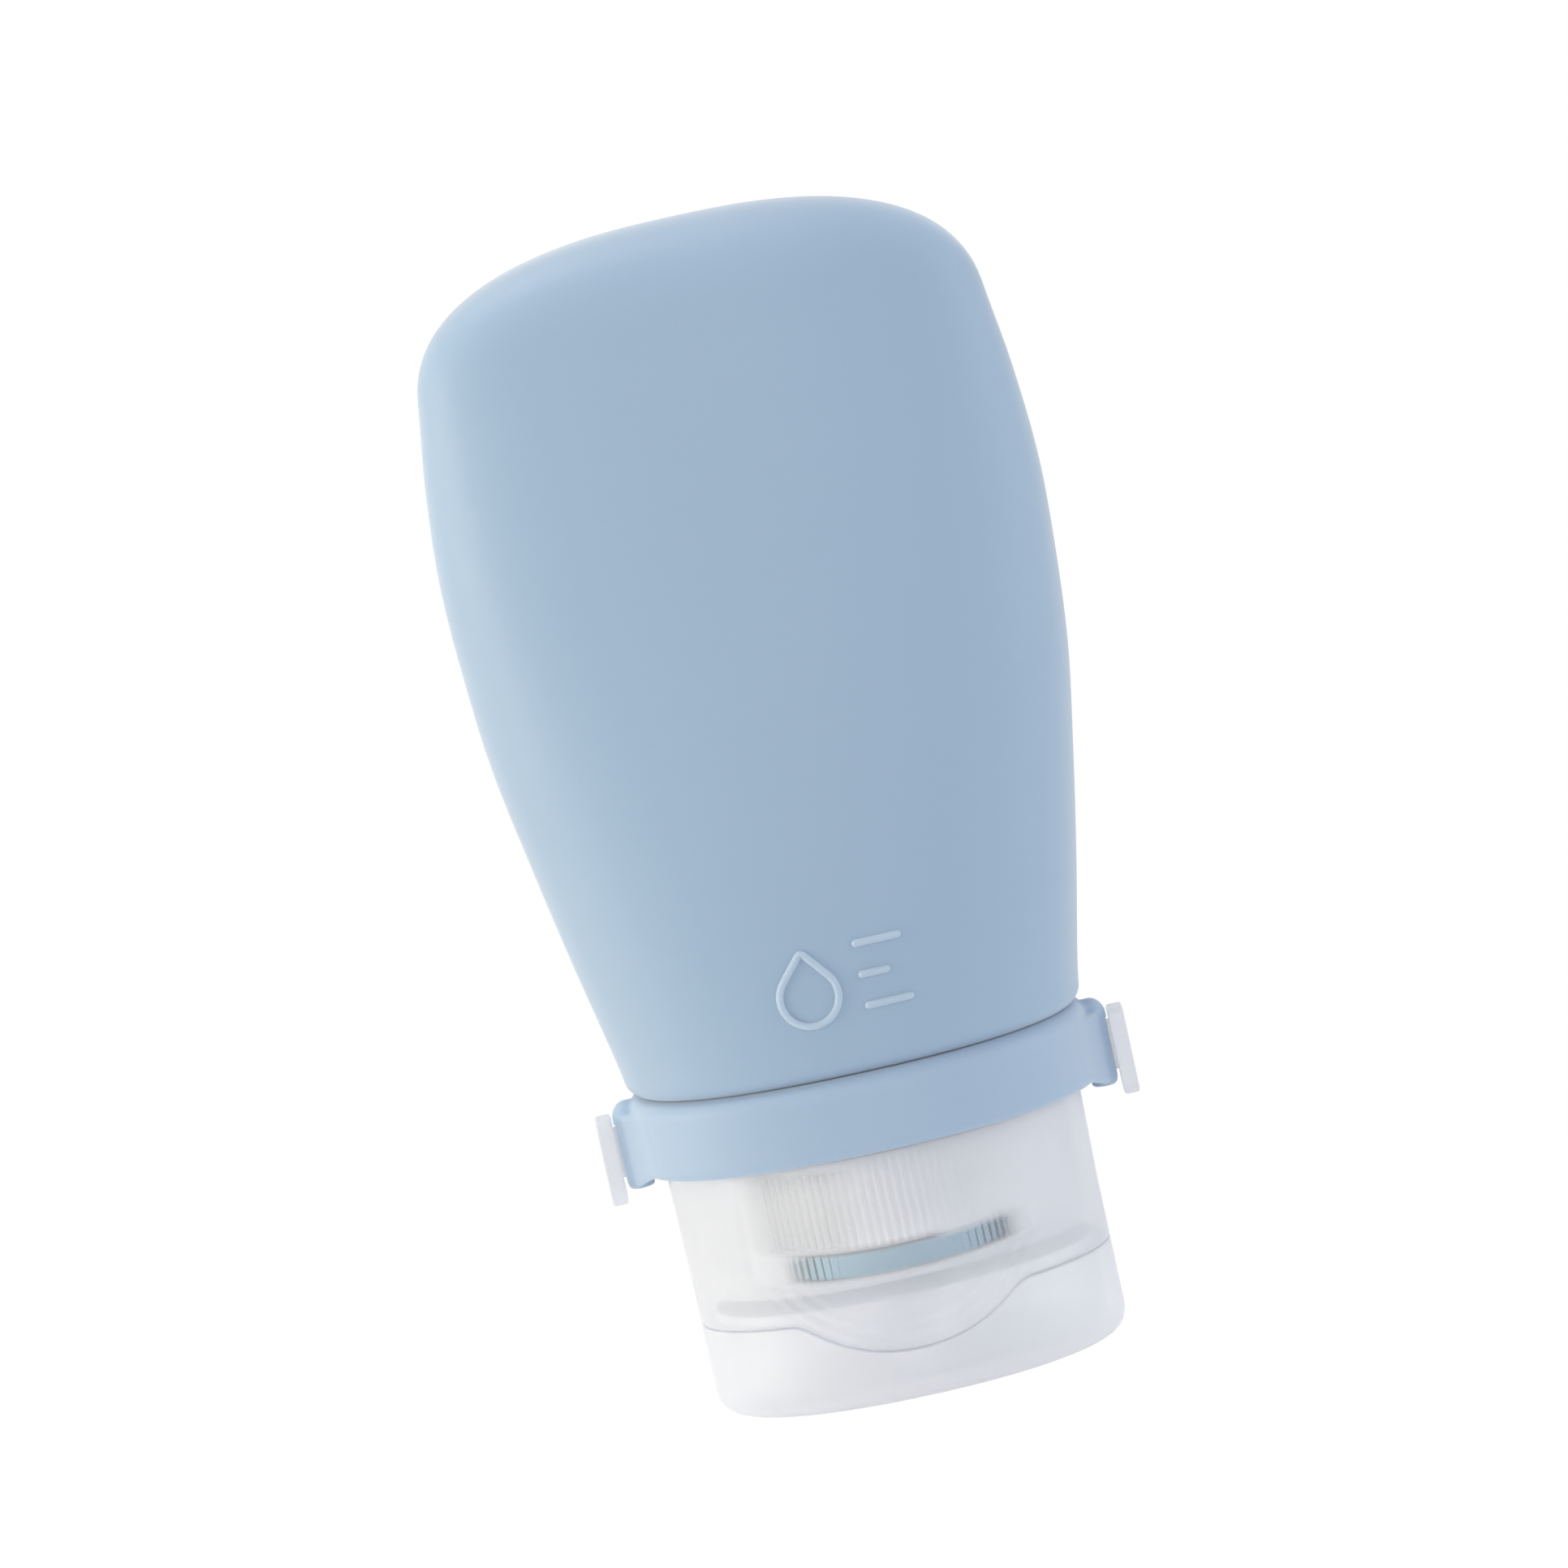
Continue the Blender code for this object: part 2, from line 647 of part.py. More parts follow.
silicone_blue = new_material("powder_blue_silicone", (0.34, 0.45, 0.60), 0.55)
frosted_pp = new_material("frosted_polypropylene", (0.80, 0.81, 0.84), 0.35)
natural_pp = new_material("natural_polypropylene", (0.76, 0.77, 0.80), 0.30)

hinge_bore = add_cutter("hinge_bore", hinge_rod(pin_radius + seat_gap, -hinge_half - cut_overrun,
                                                hinge_half + cut_overrun))

make_body()
make_neck_spout()
make_collar()
make_link_plate(-1, "left")
make_link_plate(1, "right")
make_valve()
make_sleeve()
make_shell()
make_hinge_pin()
make_lid()
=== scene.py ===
"""Looks of a travel squeeze bottle that stands on its flip lid with the soft tail up.

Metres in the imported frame: +Z towards the tail, -Y to the front with the thumb notch.
The sections follow the bottle as it is put together, then come the sheet, lights and camera.
"""
import math

import bpy
import numpy as np
from mathutils import Matrix


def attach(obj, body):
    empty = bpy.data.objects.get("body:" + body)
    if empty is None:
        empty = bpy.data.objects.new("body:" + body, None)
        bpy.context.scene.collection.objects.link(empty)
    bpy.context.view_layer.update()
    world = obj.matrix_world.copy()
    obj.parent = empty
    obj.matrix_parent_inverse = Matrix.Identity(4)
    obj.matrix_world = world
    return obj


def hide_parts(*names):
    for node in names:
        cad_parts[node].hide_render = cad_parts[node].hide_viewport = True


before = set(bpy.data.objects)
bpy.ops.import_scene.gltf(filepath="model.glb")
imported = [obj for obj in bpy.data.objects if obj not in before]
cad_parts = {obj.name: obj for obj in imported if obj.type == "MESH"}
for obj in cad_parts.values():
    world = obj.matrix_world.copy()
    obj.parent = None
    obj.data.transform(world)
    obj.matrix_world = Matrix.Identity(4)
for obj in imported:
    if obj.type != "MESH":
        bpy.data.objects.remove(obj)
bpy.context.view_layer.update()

# Soft body: one thick skin of silicone rubber, moulded over a core that is pulled out
# through the neck, and matt all over from the blasted mould. It is oval at the collar
# and flattens to a broad rounded tail. The neck below its shoulder sits in the collar.
body_foot = 0.03093
body_height = 0.07867
body_half_width = 0.0281
body_half_depth = 0.0166
body_wall = 0.0017
shoulder_radius = 0.0017
silicone_neck_foot = 0.0255
silicone_neck_half_width = 0.0189
silicone_neck_half_depth = 0.0144
tail_arch_height = 0.0126
tail_edge_radius = 0.0085
tail_power = 2.5
foot_power = 2.25
crown_power = 2.7
width_shares = ((0.0, 0.754), (0.047, 0.776), (0.168, 0.845), (0.29, 0.908), (0.412, 0.964),
                (0.523, 0.990), (0.635, 1.0), (0.747, 0.979), (0.848, 0.942), (1.0, 0.90))
depth_shares = ((0.0, 1.0), (0.12, 0.995), (0.28, 0.955), (0.45, 0.87), (0.62, 0.745),
                (0.78, 0.60), (0.90, 0.49), (1.0, 0.42))
body_columns = 192
neck_row_count = 4
shoulder_row_count = 10
shoulder_height = body_foot + shoulder_radius
body_top = body_foot + body_height
tail_arch_foot = body_top - tail_arch_height
tail_edge_foot = body_top - tail_edge_radius


def linear(hex_colour):
    """The linear red, green and blue of an sRGB hex colour. A channel c from 0 to 1 becomes c / 12.92
    where it is dark, and ((c + 0.055) / 1.055)^2.4 elsewhere."""
    channels = np.array([int(hex_colour[at:at + 2], 16) for at in (1, 3, 5)]) / 255
    return tuple(np.where(channels <= 0.04045, channels / 12.92, ((channels + 0.055) / 1.055) ** 2.4))


def set_inputs(tree, node, inputs):
    """Give each named input of a node a value or another node's output."""
    for name, value in inputs.items():
        if isinstance(value, bpy.types.NodeSocket):
            tree.links.new(value, node.inputs[name])
        else:
            node.inputs[name].default_value = value


def add_node(tree, kind, inputs, **settings):
    """Add a shader node with its settings and inputs."""
    made = tree.nodes.new(kind)
    for name, value in settings.items():
        setattr(made, name, value)
    set_inputs(tree, made, inputs)
    return made


def new_material(name):
    """A material, its nodes, and the place on the piece in metres."""
    material = bpy.data.materials.new(name)
    material.use_nodes = True
    tree = material.node_tree
    return material, tree, add_node(tree, "ShaderNodeTexCoord", {}).outputs["Object"]


def surface(points, loop=False):
    """Corners and faces of a grid of points[row, column]. Columns run round and meet. With loop the
    last row meets the first one, and without it each end row closes on a point at its middle."""
    rows, columns, _ = points.shape
    corners = points.reshape(-1, 3)
    number = np.arange(rows * columns).reshape(rows, columns)
    low, high = (number, np.roll(number, -1, 0)) if loop else (number[:-1], number[1:])
    quads = np.stack([low, np.roll(low, -1, 1), np.roll(high, -1, 1), high], -1).reshape(-1, 4)
    fans = np.empty((0, 3), int)
    if not loop:
        corners = np.vstack([corners, points[0].mean(0), points[-1].mean(0)])
        start, end = np.full((2, columns), [[number.size], [number.size + 1]])
        fans = np.vstack([np.stack([start, np.roll(number[0], -1), number[0]], -1),
                          np.stack([end, number[-1], np.roll(number[-1], -1)], -1)])
    halves = np.vstack([quads[:, :3], quads[:, [0, 2, 3]], fans])
    first, second, third = (corners[halves[:, side]] for side in range(3))
    if np.einsum("ij,ij->i", first, np.cross(second, third)).sum() < 0:
        quads, fans = quads[:, ::-1], fans[:, ::-1]
    return corners, quads, fans


def make_piece(name, surfaces, material, sharp_degrees=40):
    """One object from closed surfaces, with smooth shading except over edges past an angle."""
    corners, faces, count = [], [], 0
    for points, quads, fans in surfaces:
        corners += points.tolist()
        faces += (quads + count).tolist() + (fans + count).tolist()
        count += len(points)
    mesh = bpy.data.meshes.new(name)
    mesh.from_pydata(corners, [], faces)
    mesh.shade_smooth()
    mesh.set_sharp_from_angle(angle=math.radians(sharp_degrees))
    mesh.materials.append(material)
    piece = bpy.data.objects.new(name, mesh)
    bpy.context.scene.collection.objects.link(piece)
    return piece


def smooth_table(table, places):
    """A cubic curve through a table of places and values. Its slope at each point is that of the
    straight line between the two neighbours."""
    spots, values = np.array(table).T
    numbers = np.arange(len(spots))
    before, after = np.maximum(numbers - 1, 0), np.minimum(numbers + 1, len(spots) - 1)
    slopes = (values[after] - values[before]) / (spots[after] - spots[before])
    index = np.clip(np.searchsorted(spots, places, side="right") - 1, 0, len(spots) - 2)
    step = spots[index + 1] - spots[index]
    along = (places - spots[index]) / step
    rise = values[index + 1] - values[index]
    start, end = slopes[index] * step, slopes[index + 1] * step
    return (values[index] + start * along + (3 * rise - 2 * start - end) * along ** 2
            + (start + end - 2 * rise) * along ** 3)


def sweep(stations, columns):
    """Rings from rows of height, half width, half depth and power p. On a ray at turn t the unit
    ring lies at (|cos t|^p + |sin t|^p)^(-1/p), and the half sizes stretch it."""
    heights, widths, depths, powers = np.asarray(stations, float)[:, :4].T[:, :, None]
    turns = 2 * np.pi * np.arange(columns)[None] / columns
    cosine, sine = np.cos(turns), np.sin(turns)
    reach = (np.abs(cosine) ** powers + np.abs(sine) ** powers) ** (-1 / powers)
    return np.stack([widths * reach * cosine, depths * reach * sine,
                     np.broadcast_to(heights, reach.shape)], -1)


def body_stations(heights, wall=0.0):
    """The body's skin at each height, moved in by a wall. Half sizes follow the two tables, then the
    tail closes as (1 - h^p)^(1/p) with the tail's power p, and its own height h for the width and
    for the depth."""
    share = (heights - body_foot) / body_height
    arch = np.clip((heights - tail_arch_foot) / (tail_arch_height - wall), 0, 1)
    edge = np.clip((heights - tail_edge_foot) / (tail_edge_radius - wall), 0, 1)
    width = (body_half_width * smooth_table(width_shares, share) - wall) * (
        1 - arch ** tail_power) ** (1 / tail_power)
    depth = (body_half_depth * smooth_table(depth_shares, share) - wall) * (
        1 - edge ** tail_power) ** (1 / tail_power)
    return np.stack([heights, width, depth, foot_power + (crown_power - foot_power) * share], -1)


def body_skin(foot, straight_rows, arch_rows, wall=0.0):
    """Stations from a foot to just under the crown, close together where the tail rounds over."""
    turns = np.pi / 2 * np.arange(arch_rows) / arch_rows
    arch = tail_arch_foot + (tail_arch_height - wall) * np.sin(turns) ** (2 / tail_power)
    straight = np.linspace(foot, tail_arch_foot, straight_rows, endpoint=False)
    return body_stations(np.concatenate([straight, arch]), wall)


# A Mix node has an A, a B and a Result of each kind under one name. These are the colour ones.
mix_a, mix_b, mix_result = 6, 7, 2


def moulded_silicone(name, colour, light_colour):
    """Solid-coloured silicone rubber from a blasted mould: a soft matt skin with a broad weak gloss,
    and a fine even grain that only shows where light grazes it. Light enters a little way. The
    real grain is finer, and is drawn as coarse as it needs to show."""
    grain_size = 0.00035
    grain_depth = 0.00003
    cloud_size = 0.03
    material, tree, place = new_material(name)
    clouds = add_node(tree, "ShaderNodeTexNoise", {
        "Vector": place, "Scale": 1 / cloud_size, "Detail": 2.0, "Roughness": 0.4}).outputs["Fac"]
    tint = add_node(tree, "ShaderNodeMix", {
        "Factor": clouds, mix_a: (*linear(colour), 1), mix_b: (*linear(light_colour), 1)},
        data_type="RGBA")
    grain = add_node(tree, "ShaderNodeTexNoise", {
        "Vector": place, "Scale": 1 / grain_size, "Detail": 3.0, "Roughness": 0.6}).outputs["Fac"]
    gloss = add_node(tree, "ShaderNodeMapRange", {
        "Value": grain, "To Min": 0.50, "To Max": 0.62})
    relief = add_node(tree, "ShaderNodeBump", {
        "Height": grain, "Strength": 0.25, "Distance": grain_depth})
    set_inputs(tree, tree.nodes["Principled BSDF"], {
        "Base Color": tint.outputs[mix_result], "Roughness": gloss.outputs["Result"],
        "Normal": relief.outputs["Normal"], "IOR": 1.41, "Specular IOR Level": 0.8,
        "Sheen Weight": 0.5, "Sheen Roughness": 0.5, "Subsurface Weight": 0.2,
        "Subsurface Radius": (0.8, 1.0, 1.2), "Subsurface Scale": 0.001})
    return material


blue_silicone = moulded_silicone("powder blue silicone rubber, blasted mould", "#95adc5", "#99b1c9")

corner_turns = np.linspace(0, np.pi / 2, shoulder_row_count)
_, shoulder_width, shoulder_depth, shoulder_power = body_stations(np.array([shoulder_height]))[0]
neck_rows = [[height, silicone_neck_half_width, silicone_neck_half_depth, foot_power]
             for height in np.linspace(silicone_neck_foot, body_foot, neck_row_count)]
corner_reach = shoulder_radius * (1 - np.sin(corner_turns))
foot_rows = np.stack([body_foot + shoulder_radius * (1 - np.cos(corner_turns)),
                      shoulder_width - corner_reach, shoulder_depth - corner_reach,
                      np.full(shoulder_row_count, shoulder_power)], -1)[:-1]
throat_rows = [[height, silicone_neck_half_width - body_wall, silicone_neck_half_depth - body_wall,
                foot_power]
               for height in np.linspace(silicone_neck_foot, shoulder_height, neck_row_count)]
inside = np.vstack([throat_rows, body_skin(
    shoulder_height + body_wall, straight_rows=24, arch_rows=20, wall=body_wall)])
outside = np.vstack([neck_rows, foot_rows, body_skin(shoulder_height, straight_rows=72, arch_rows=48)])
body = make_piece("silicone_body", [surface(sweep(np.vstack([inside[::-1], outside]), body_columns))],
                  blue_silicone)
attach(body, "bottle")
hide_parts("bottle_body")

# Raised mark on the body's front, above the collar: a plain drop outline beside three level
# bars. It is moulded in one with the body, as low round beads that stand a third of a
# millimetre proud. Their paler colour is a painted highlight, for the light that catches the beads.
mark_middle_height = 0.0400
drop_middle_x = -0.0031
drop_radius = 0.0027
drop_tip_rise = 0.0042
drop_arc_degrees = (-218, 38)
drop_arc_points = 56
drop_flank_points = 16
drop_roundings = 3
bar_start_x = 0.0017
bar_lengths = (0.0046, 0.0030, 0.0046)
bar_pitch = 0.0029
bead_width = 0.0007
bead_rise = 0.00034
bead_root = 0.00025
bead_columns = 20
bar_points = 40


def front_of_body(x, height):
    """Depth of the body's front: y = -b (1 - |x / a|^p)^(1/p) with the half sizes at that height."""
    _, width, depth, power = np.moveaxis(body_stations(height), -1, 0)
    return -depth * (1 - np.abs(x / width) ** power) ** (1 / power)


def raised_bead(path, half_widths):
    """A low round bead along a path of x and height on the body's front. Its section is half an
    ellipse above the skin and a shallower root below it."""
    ahead = np.gradient(path, axis=0)
    ahead /= np.linalg.norm(ahead, axis=1, keepdims=True)
    turns = 2 * np.pi * np.arange(bead_columns) / bead_columns
    aside = half_widths[:, None] * np.cos(turns)
    share = half_widths[:, None] / half_widths.max()
    proud = np.where(np.sin(turns) > 0, bead_rise * share, bead_root) * np.sin(turns)
    x = path[:, :1] - aside * ahead[:, 1:]
    height = path[:, 1:] + aside * ahead[:, :1]
    return np.stack([x, front_of_body(x, height) - proud, height], -1)


# Painted highlight: the body's rubber, lightened all over the beads for the light they catch.
highlight_painted_silicone = moulded_silicone("powder blue silicone rubber, beads painted paler as lit", "#abbfd4", "#afc3d7")
round_part = np.linspace(*np.radians(drop_arc_degrees), drop_arc_points)
circle = np.stack([drop_radius * np.cos(round_part), drop_radius * np.sin(round_part)], -1)
tip = np.array([0, drop_tip_rise])
flank = np.linspace(0, 1, drop_flank_points)[1:-1, None]
drop = np.vstack([circle, circle[-1] + (tip - circle[-1]) * flank, tip[None],
                  tip + (circle[0] - tip) * flank])
drop += [drop_middle_x, mark_middle_height - drop_tip_rise / 4]
for _ in range(drop_roundings):
    drop = (np.roll(drop, 1, 0) + 2 * drop + np.roll(drop, -1, 0)) / 4
beads = [surface(raised_bead(drop, np.full(len(drop), bead_width / 2)), loop=True)]
end_to_end = np.linspace(0, np.pi, bar_points)[1:-1]
for step, length in enumerate(bar_lengths):
    along = bar_start_x + length / 2 - np.cos(end_to_end) * length / 2
    from_end = np.minimum(along - bar_start_x, bar_start_x + length - along)
    short_of = np.clip(bead_width / 2 - from_end, 0, None)
    height = mark_middle_height + (step - 1) * bar_pitch
    beads.append(surface(raised_bead(np.stack([along, np.full(len(along), height)], -1),
                                     np.sqrt((bead_width / 2) ** 2 - short_of ** 2))))
mark = make_piece("volume_mark", beads, highlight_painted_silicone)
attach(mark, "bottle")

# Rigid spout under the collar: injection-moulded polypropylene in its natural milky colour.
# Its threaded tube carries the closure, and its oval flange and upstand hold the soft neck
# from inside while the collar squeezes it from outside.
neck_rim = 0.0139
neck_outer_radius = 0.0112
neck_bore_radius = 0.0098
flange_foot = 0.0236
flange_top = 0.0252
flange_half_sizes = (0.0189, 0.0144)
flange_edge = 0.0002
upstand_half_sizes = (0.0169, 0.0124)
upstand_wall = 0.0012
upstand_top = 0.0306
spout_edge = 0.0003
spout_fillet = 0.0004
thread_height = 0.0008
thread_base_width = 0.0011
thread_crest_width = 0.0005
thread_lead = 0.006
thread_turn_share = 0.55
thread_fade_share = 0.06
thread_starts = 2
neck_thread_foot = 0.0152
neck_row_spacing = 0.00016
spout_row_spacing = 0.0012
spout_columns = 288
stopped_share = 0.22
tolerance = 1e-6


def oval(height, half_sizes, power, corner=0, inward=0):
    """A station of an oval: its height, its half width and depth moved in by a wall, its power, and
    the radius of the outline's corner there."""
    return height, half_sizes[0] - inward, half_sizes[1] - inward, power, corner


def ring(height, radius, corner=0):
    """A round station: an oval of equal half sizes and a circle's power, which is 2."""
    return oval(height, (radius, radius), 2, corner)


def rounded_stations(corners, spacing, loop=True, corner_rows=5):
    """Stations along an outline of rows of height, half width, half depth, power and a corner's
    radius. Each side is cut at its own spacing, or all at one. Each corner is a parabola between
    the points one radius before and after it, or half a side where that is less."""
    spacings = np.broadcast_to(spacing, len(corners))
    corners = np.array(corners, float)
    values, radii = corners[:, :4], corners[:, 4]
    after = np.roll(values, -1, 0) - values
    lengths = np.maximum(np.hypot(after[:, 0], np.abs(after[:, 1:3]).max(1)), tolerance)
    rows = []
    for index in range(len(corners)):
        open_end = not loop and index in (0, len(corners) - 1)
        reach = 0 if open_end else radii[index]
        back = values[index] - after[index - 1] * min(reach / lengths[index - 1], 0.5)
        ahead = values[index] + after[index] * min(reach / lengths[index], 0.5)
        share = np.linspace(0, 1, corner_rows)[:, None]
        bend = (1 - share) ** 2 * back + 2 * share * (1 - share) * values[index] + share ** 2 * ahead
        rows.append(bend if reach else values[index][None])
        if not loop and index == len(corners) - 1:
            break
        following = (index + 1) % len(corners)
        last = not loop and following == len(corners) - 1
        next_reach = 0 if last else radii[following]
        stop = values[following] - after[index] * min(next_reach / lengths[index], 0.5)
        start = rows[-1][-1]
        length = np.hypot(stop[0] - start[0], np.abs(stop[1:3] - start[1:3]).max())
        count = int(length / spacings[index])
        rows.append(start + (stop - start) * (np.arange(1, count + 1) / (count + 1))[:, None])
    return np.vstack(rows)


def thread_rise(turns, heights, foot):
    """How far the thread stands out at each turn and height. Each start climbs one lead a turn, and
    its trapezoid runs out smoothly at both ends."""
    rise = np.zeros(np.broadcast(turns, heights).shape)
    for start in range(thread_starts):
        turned = np.mod(turns - 2 * np.pi * start / thread_starts, 2 * np.pi)
        share = turned / (2 * np.pi * thread_turn_share)
        off_line = np.abs(heights - foot - thread_lead * turned / (2 * np.pi))
        section = np.clip((thread_base_width / 2 - off_line)
                          / (thread_base_width - thread_crest_width) * 2, 0, 1)
        fade = np.clip(np.minimum(share, 1 - share) / thread_fade_share, 0, 1)
        rise = np.maximum(rise, thread_height * section * fade)
    return rise


def passing_on(tree, opacity):
    """Opacity of a milky wall. It is less for shadow rays, because the light that the wall scatters
    goes on to what lies behind it."""
    shadow = add_node(tree, "ShaderNodeLightPath", {}).outputs["Is Shadow Ray"]
    share = add_node(tree, "ShaderNodeMapRange", {
        "Value": shadow, "To Min": 1.0, "To Max": stopped_share}).outputs["Result"]
    return add_node(tree, "ShaderNodeMath", {0: share, 1: opacity}, operation="MULTIPLY").outputs[0]


def natural_polypropylene(name, colour, opacity):
    """Unpigmented polypropylene from a fine-ground mould: milky and see-through in a thin wall, with
    a satin skin whose faint flow lines cloud what lies behind. The real grain is finer, and is
    drawn as coarse as it needs to show."""
    grain_size = 0.0005
    grain_depth = 0.00002
    flow_size = 0.006
    material, tree, place = new_material(name)
    flow = add_node(tree, "ShaderNodeTexNoise", {
        "Vector": place, "Scale": 1 / flow_size, "Detail": 3.0, "Distortion": 0.8}).outputs["Fac"]
    gloss = add_node(tree, "ShaderNodeMapRange", {
        "Value": flow, "To Min": 0.28, "To Max": 0.38})
    grain = add_node(tree, "ShaderNodeTexNoise", {
        "Vector": place, "Scale": 1 / grain_size, "Detail": 2.0}).outputs["Fac"]
    relief = add_node(tree, "ShaderNodeBump", {
        "Height": grain, "Strength": 0.15, "Distance": grain_depth})
    set_inputs(tree, tree.nodes["Principled BSDF"], {
        "Base Color": (*linear(colour), 1), "Roughness": gloss.outputs["Result"],
        "Normal": relief.outputs["Normal"], "Alpha": passing_on(tree, opacity), "IOR": 1.49})
    return material


milky_polypropylene = natural_polypropylene("natural polypropylene, satin moulded", "#fbfbfe", 0.80)

spout_rows = rounded_stations([
    ring(neck_rim, neck_outer_radius, spout_edge),
    ring(flange_foot, neck_outer_radius, spout_fillet),
    oval(flange_foot, flange_half_sizes, foot_power, flange_edge),
    oval(flange_top, flange_half_sizes, foot_power, flange_edge),
    oval(flange_top, upstand_half_sizes, foot_power, flange_edge),
    oval(upstand_top, upstand_half_sizes, foot_power, spout_edge),
    oval(upstand_top, upstand_half_sizes, foot_power, spout_edge, upstand_wall),
    oval(flange_top, upstand_half_sizes, foot_power, spout_edge, upstand_wall),
    ring(flange_top, neck_bore_radius, spout_fillet),
    ring(neck_rim, neck_bore_radius, spout_edge)],
    spacing=[neck_row_spacing] + 9 * [spout_row_spacing])
spout_grid = sweep(spout_rows, spout_columns)
on_outer_wall = ((np.abs(spout_rows[:, 1] - neck_outer_radius) < tolerance)
                 & (spout_rows[:, 0] < flange_foot))
wall_points = spout_grid[on_outer_wall]
wall_turns = np.arctan2(wall_points[..., 1], wall_points[..., 0])
grown = 1 + thread_rise(wall_turns, wall_points[..., 2], neck_thread_foot) / neck_outer_radius
spout_grid[on_outer_wall, :, :2] = wall_points[..., :2] * grown[..., None]
spout = make_piece("neck_and_flange", [surface(spout_grid, loop=True)], milky_polypropylene)
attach(spout, "bottle")
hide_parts("neck_spout")

# Collar: an oval band of the same blue rubber over a stiff core, pushed up over the soft neck.
# At each end a wing carries the band's face out to an upright round nub, all moulded in one, and
# the nub's slotted well takes the bead of a link plate.
collar_foot = 0.0236
collar_height = 0.0073
collar_half_width = 0.0215
collar_half_depth = 0.0170
collar_bore_half_width = 0.0192
collar_bore_half_depth = 0.0147
collar_top_radius = 0.0015
collar_foot_radius = 0.0006
collar_bore_edge = 0.0003
nub_centre = 0.02185
nub_radius = 0.00125
nub_top = 0.0306
nub_foot = 0.02235
nub_foot_edge = 0.0004
nub_fillet = 0.0007
wing_face_degrees = 24.0
wing_face_reach = 0.0212
wing_end_x = 0.02305
wing_start_x = 0.0203
wing_foot = 0.0239
wing_top = 0.0295
wing_drop = 0.0011
wing_edge = 0.0004
wing_blend = 0.00025
well_radius = 0.00085
well_top = 0.0289
slot_top = 0.0286
slot_half = 0.0006
well_columns = 32
collar_columns = 400
collar_rows = 112
column_crowding = 0.42


def rounded_pair(side, rise, radius):
    """Distance to a corner whose two sides lie at side = 0 and rise = 0, rounded to a radius."""
    side, rise = side + radius, rise + radius
    return (np.minimum(np.maximum(side, rise), 0)
            + np.hypot(np.maximum(side, 0), np.maximum(rise, 0)) - radius)


def smooth_least(first, second, blend):
    """The lesser of two values, with a rounded change-over."""
    share = np.clip(0.5 + 0.5 * (second - first) / blend, 0, 1)
    return second * (1 - share) + first * share - blend * share * (1 - share)


def oval_reach(cosine, sine, half_width, half_depth):
    """How far out an oval like the collar's lies at a turn: ((|cos| / a)^p + (|sin| / b)^p)^(-1/p)."""
    return ((cosine / half_width) ** foot_power + (sine / half_depth) ** foot_power) ** (-1 / foot_power)


def collar_field(x, y, height):
    """Below zero inside the collar. The band is a rounded box in each plane through the axis, bent
    round the oval. Each nub is an upright rod with a domed top, and each wing lies behind a level
    line turned from the end, with a foot that slopes down to the nub's. The smooth minimum of the
    three gives the moulded fillets."""
    reach = np.hypot(x, y)
    turn = np.abs(x) / reach, np.abs(y) / reach
    outer = oval_reach(*turn, collar_half_width, collar_half_depth)
    inner = oval_reach(*turn, collar_bore_half_width, collar_bore_half_depth)
    across = reach - (outer + inner) / 2
    up = height - collar_foot - collar_height / 2
    outer_edge = np.where(up > 0, collar_top_radius, collar_foot_radius)
    edge = np.where(across < 0, collar_bore_edge, outer_edge)
    band = rounded_pair(np.abs(across) - (outer - inner) / 2, np.abs(up) - collar_height / 2, edge)
    beside = np.hypot(np.abs(x) - nub_centre, y)
    rod = np.hypot(beside, np.maximum(height - nub_top + nub_radius, 0)) - nub_radius
    nub = rounded_pair(rod, nub_foot - height, nub_foot_edge)
    face_turn = math.radians(wing_face_degrees)
    face = math.cos(face_turn) * np.abs(x) + math.sin(face_turn) * np.abs(y) - wing_face_reach
    plan = np.maximum(np.maximum(face, np.abs(x) - wing_end_x), wing_start_x - np.abs(x))
    towards_nub = np.clip((np.abs(x) - wing_start_x) / (nub_centre - wing_start_x), 0, 1)
    foot = wing_foot - wing_drop * towards_nub
    level = np.abs(height - (foot + wing_top) / 2) - (wing_top - foot) / 2
    wing = rounded_pair(plan, level, wing_edge)
    return smooth_least(smooth_least(wing, band, wing_blend), nub, nub_fillet)


def collar_points(ray_step=0.0001, ray_steps=70, halvings=12):
    """The collar's skin, found on rays from the middle of the band's section. Columns crowd towards
    the nubs, and each ray is walked until the field changes sign, then halved down."""
    even = 2 * np.pi * np.arange(collar_columns) / collar_columns
    turns = (even - column_crowding * np.sin(2 * even))[None, :, None]
    tilt = 2 * np.pi * np.arange(collar_rows) / collar_rows
    wall = collar_half_width - collar_bore_half_width
    aim = np.stack([wall * np.cos(tilt), collar_height * np.sin(tilt)], -1)
    out, up = (aim / np.linalg.norm(aim, axis=1, keepdims=True)).T[:, :, None, None]
    ends = np.abs(np.cos(turns)), np.abs(np.sin(turns))
    core = sum(oval_reach(*ends, collar_half_width - inward, collar_half_depth - inward) / 2
               for inward in (0, wall))

    def point(steps):
        reach = core + steps * out
        height = collar_foot + collar_height / 2 + steps * up
        return reach * np.cos(turns), reach * np.sin(turns), height

    walk = np.arange(1, ray_steps + 1) * ray_step
    outside = collar_field(*point(walk[None, None, :])) > 0
    high = walk[np.argmax(outside, axis=-1)][..., None]
    low = high - walk[0]
    for _ in range(halvings):
        middle = (low + high) / 2
        past = collar_field(*point(middle)) > 0
        low, high = np.where(past, low, middle), np.where(past, middle, high)
    return np.concatenate(point(high), -1)


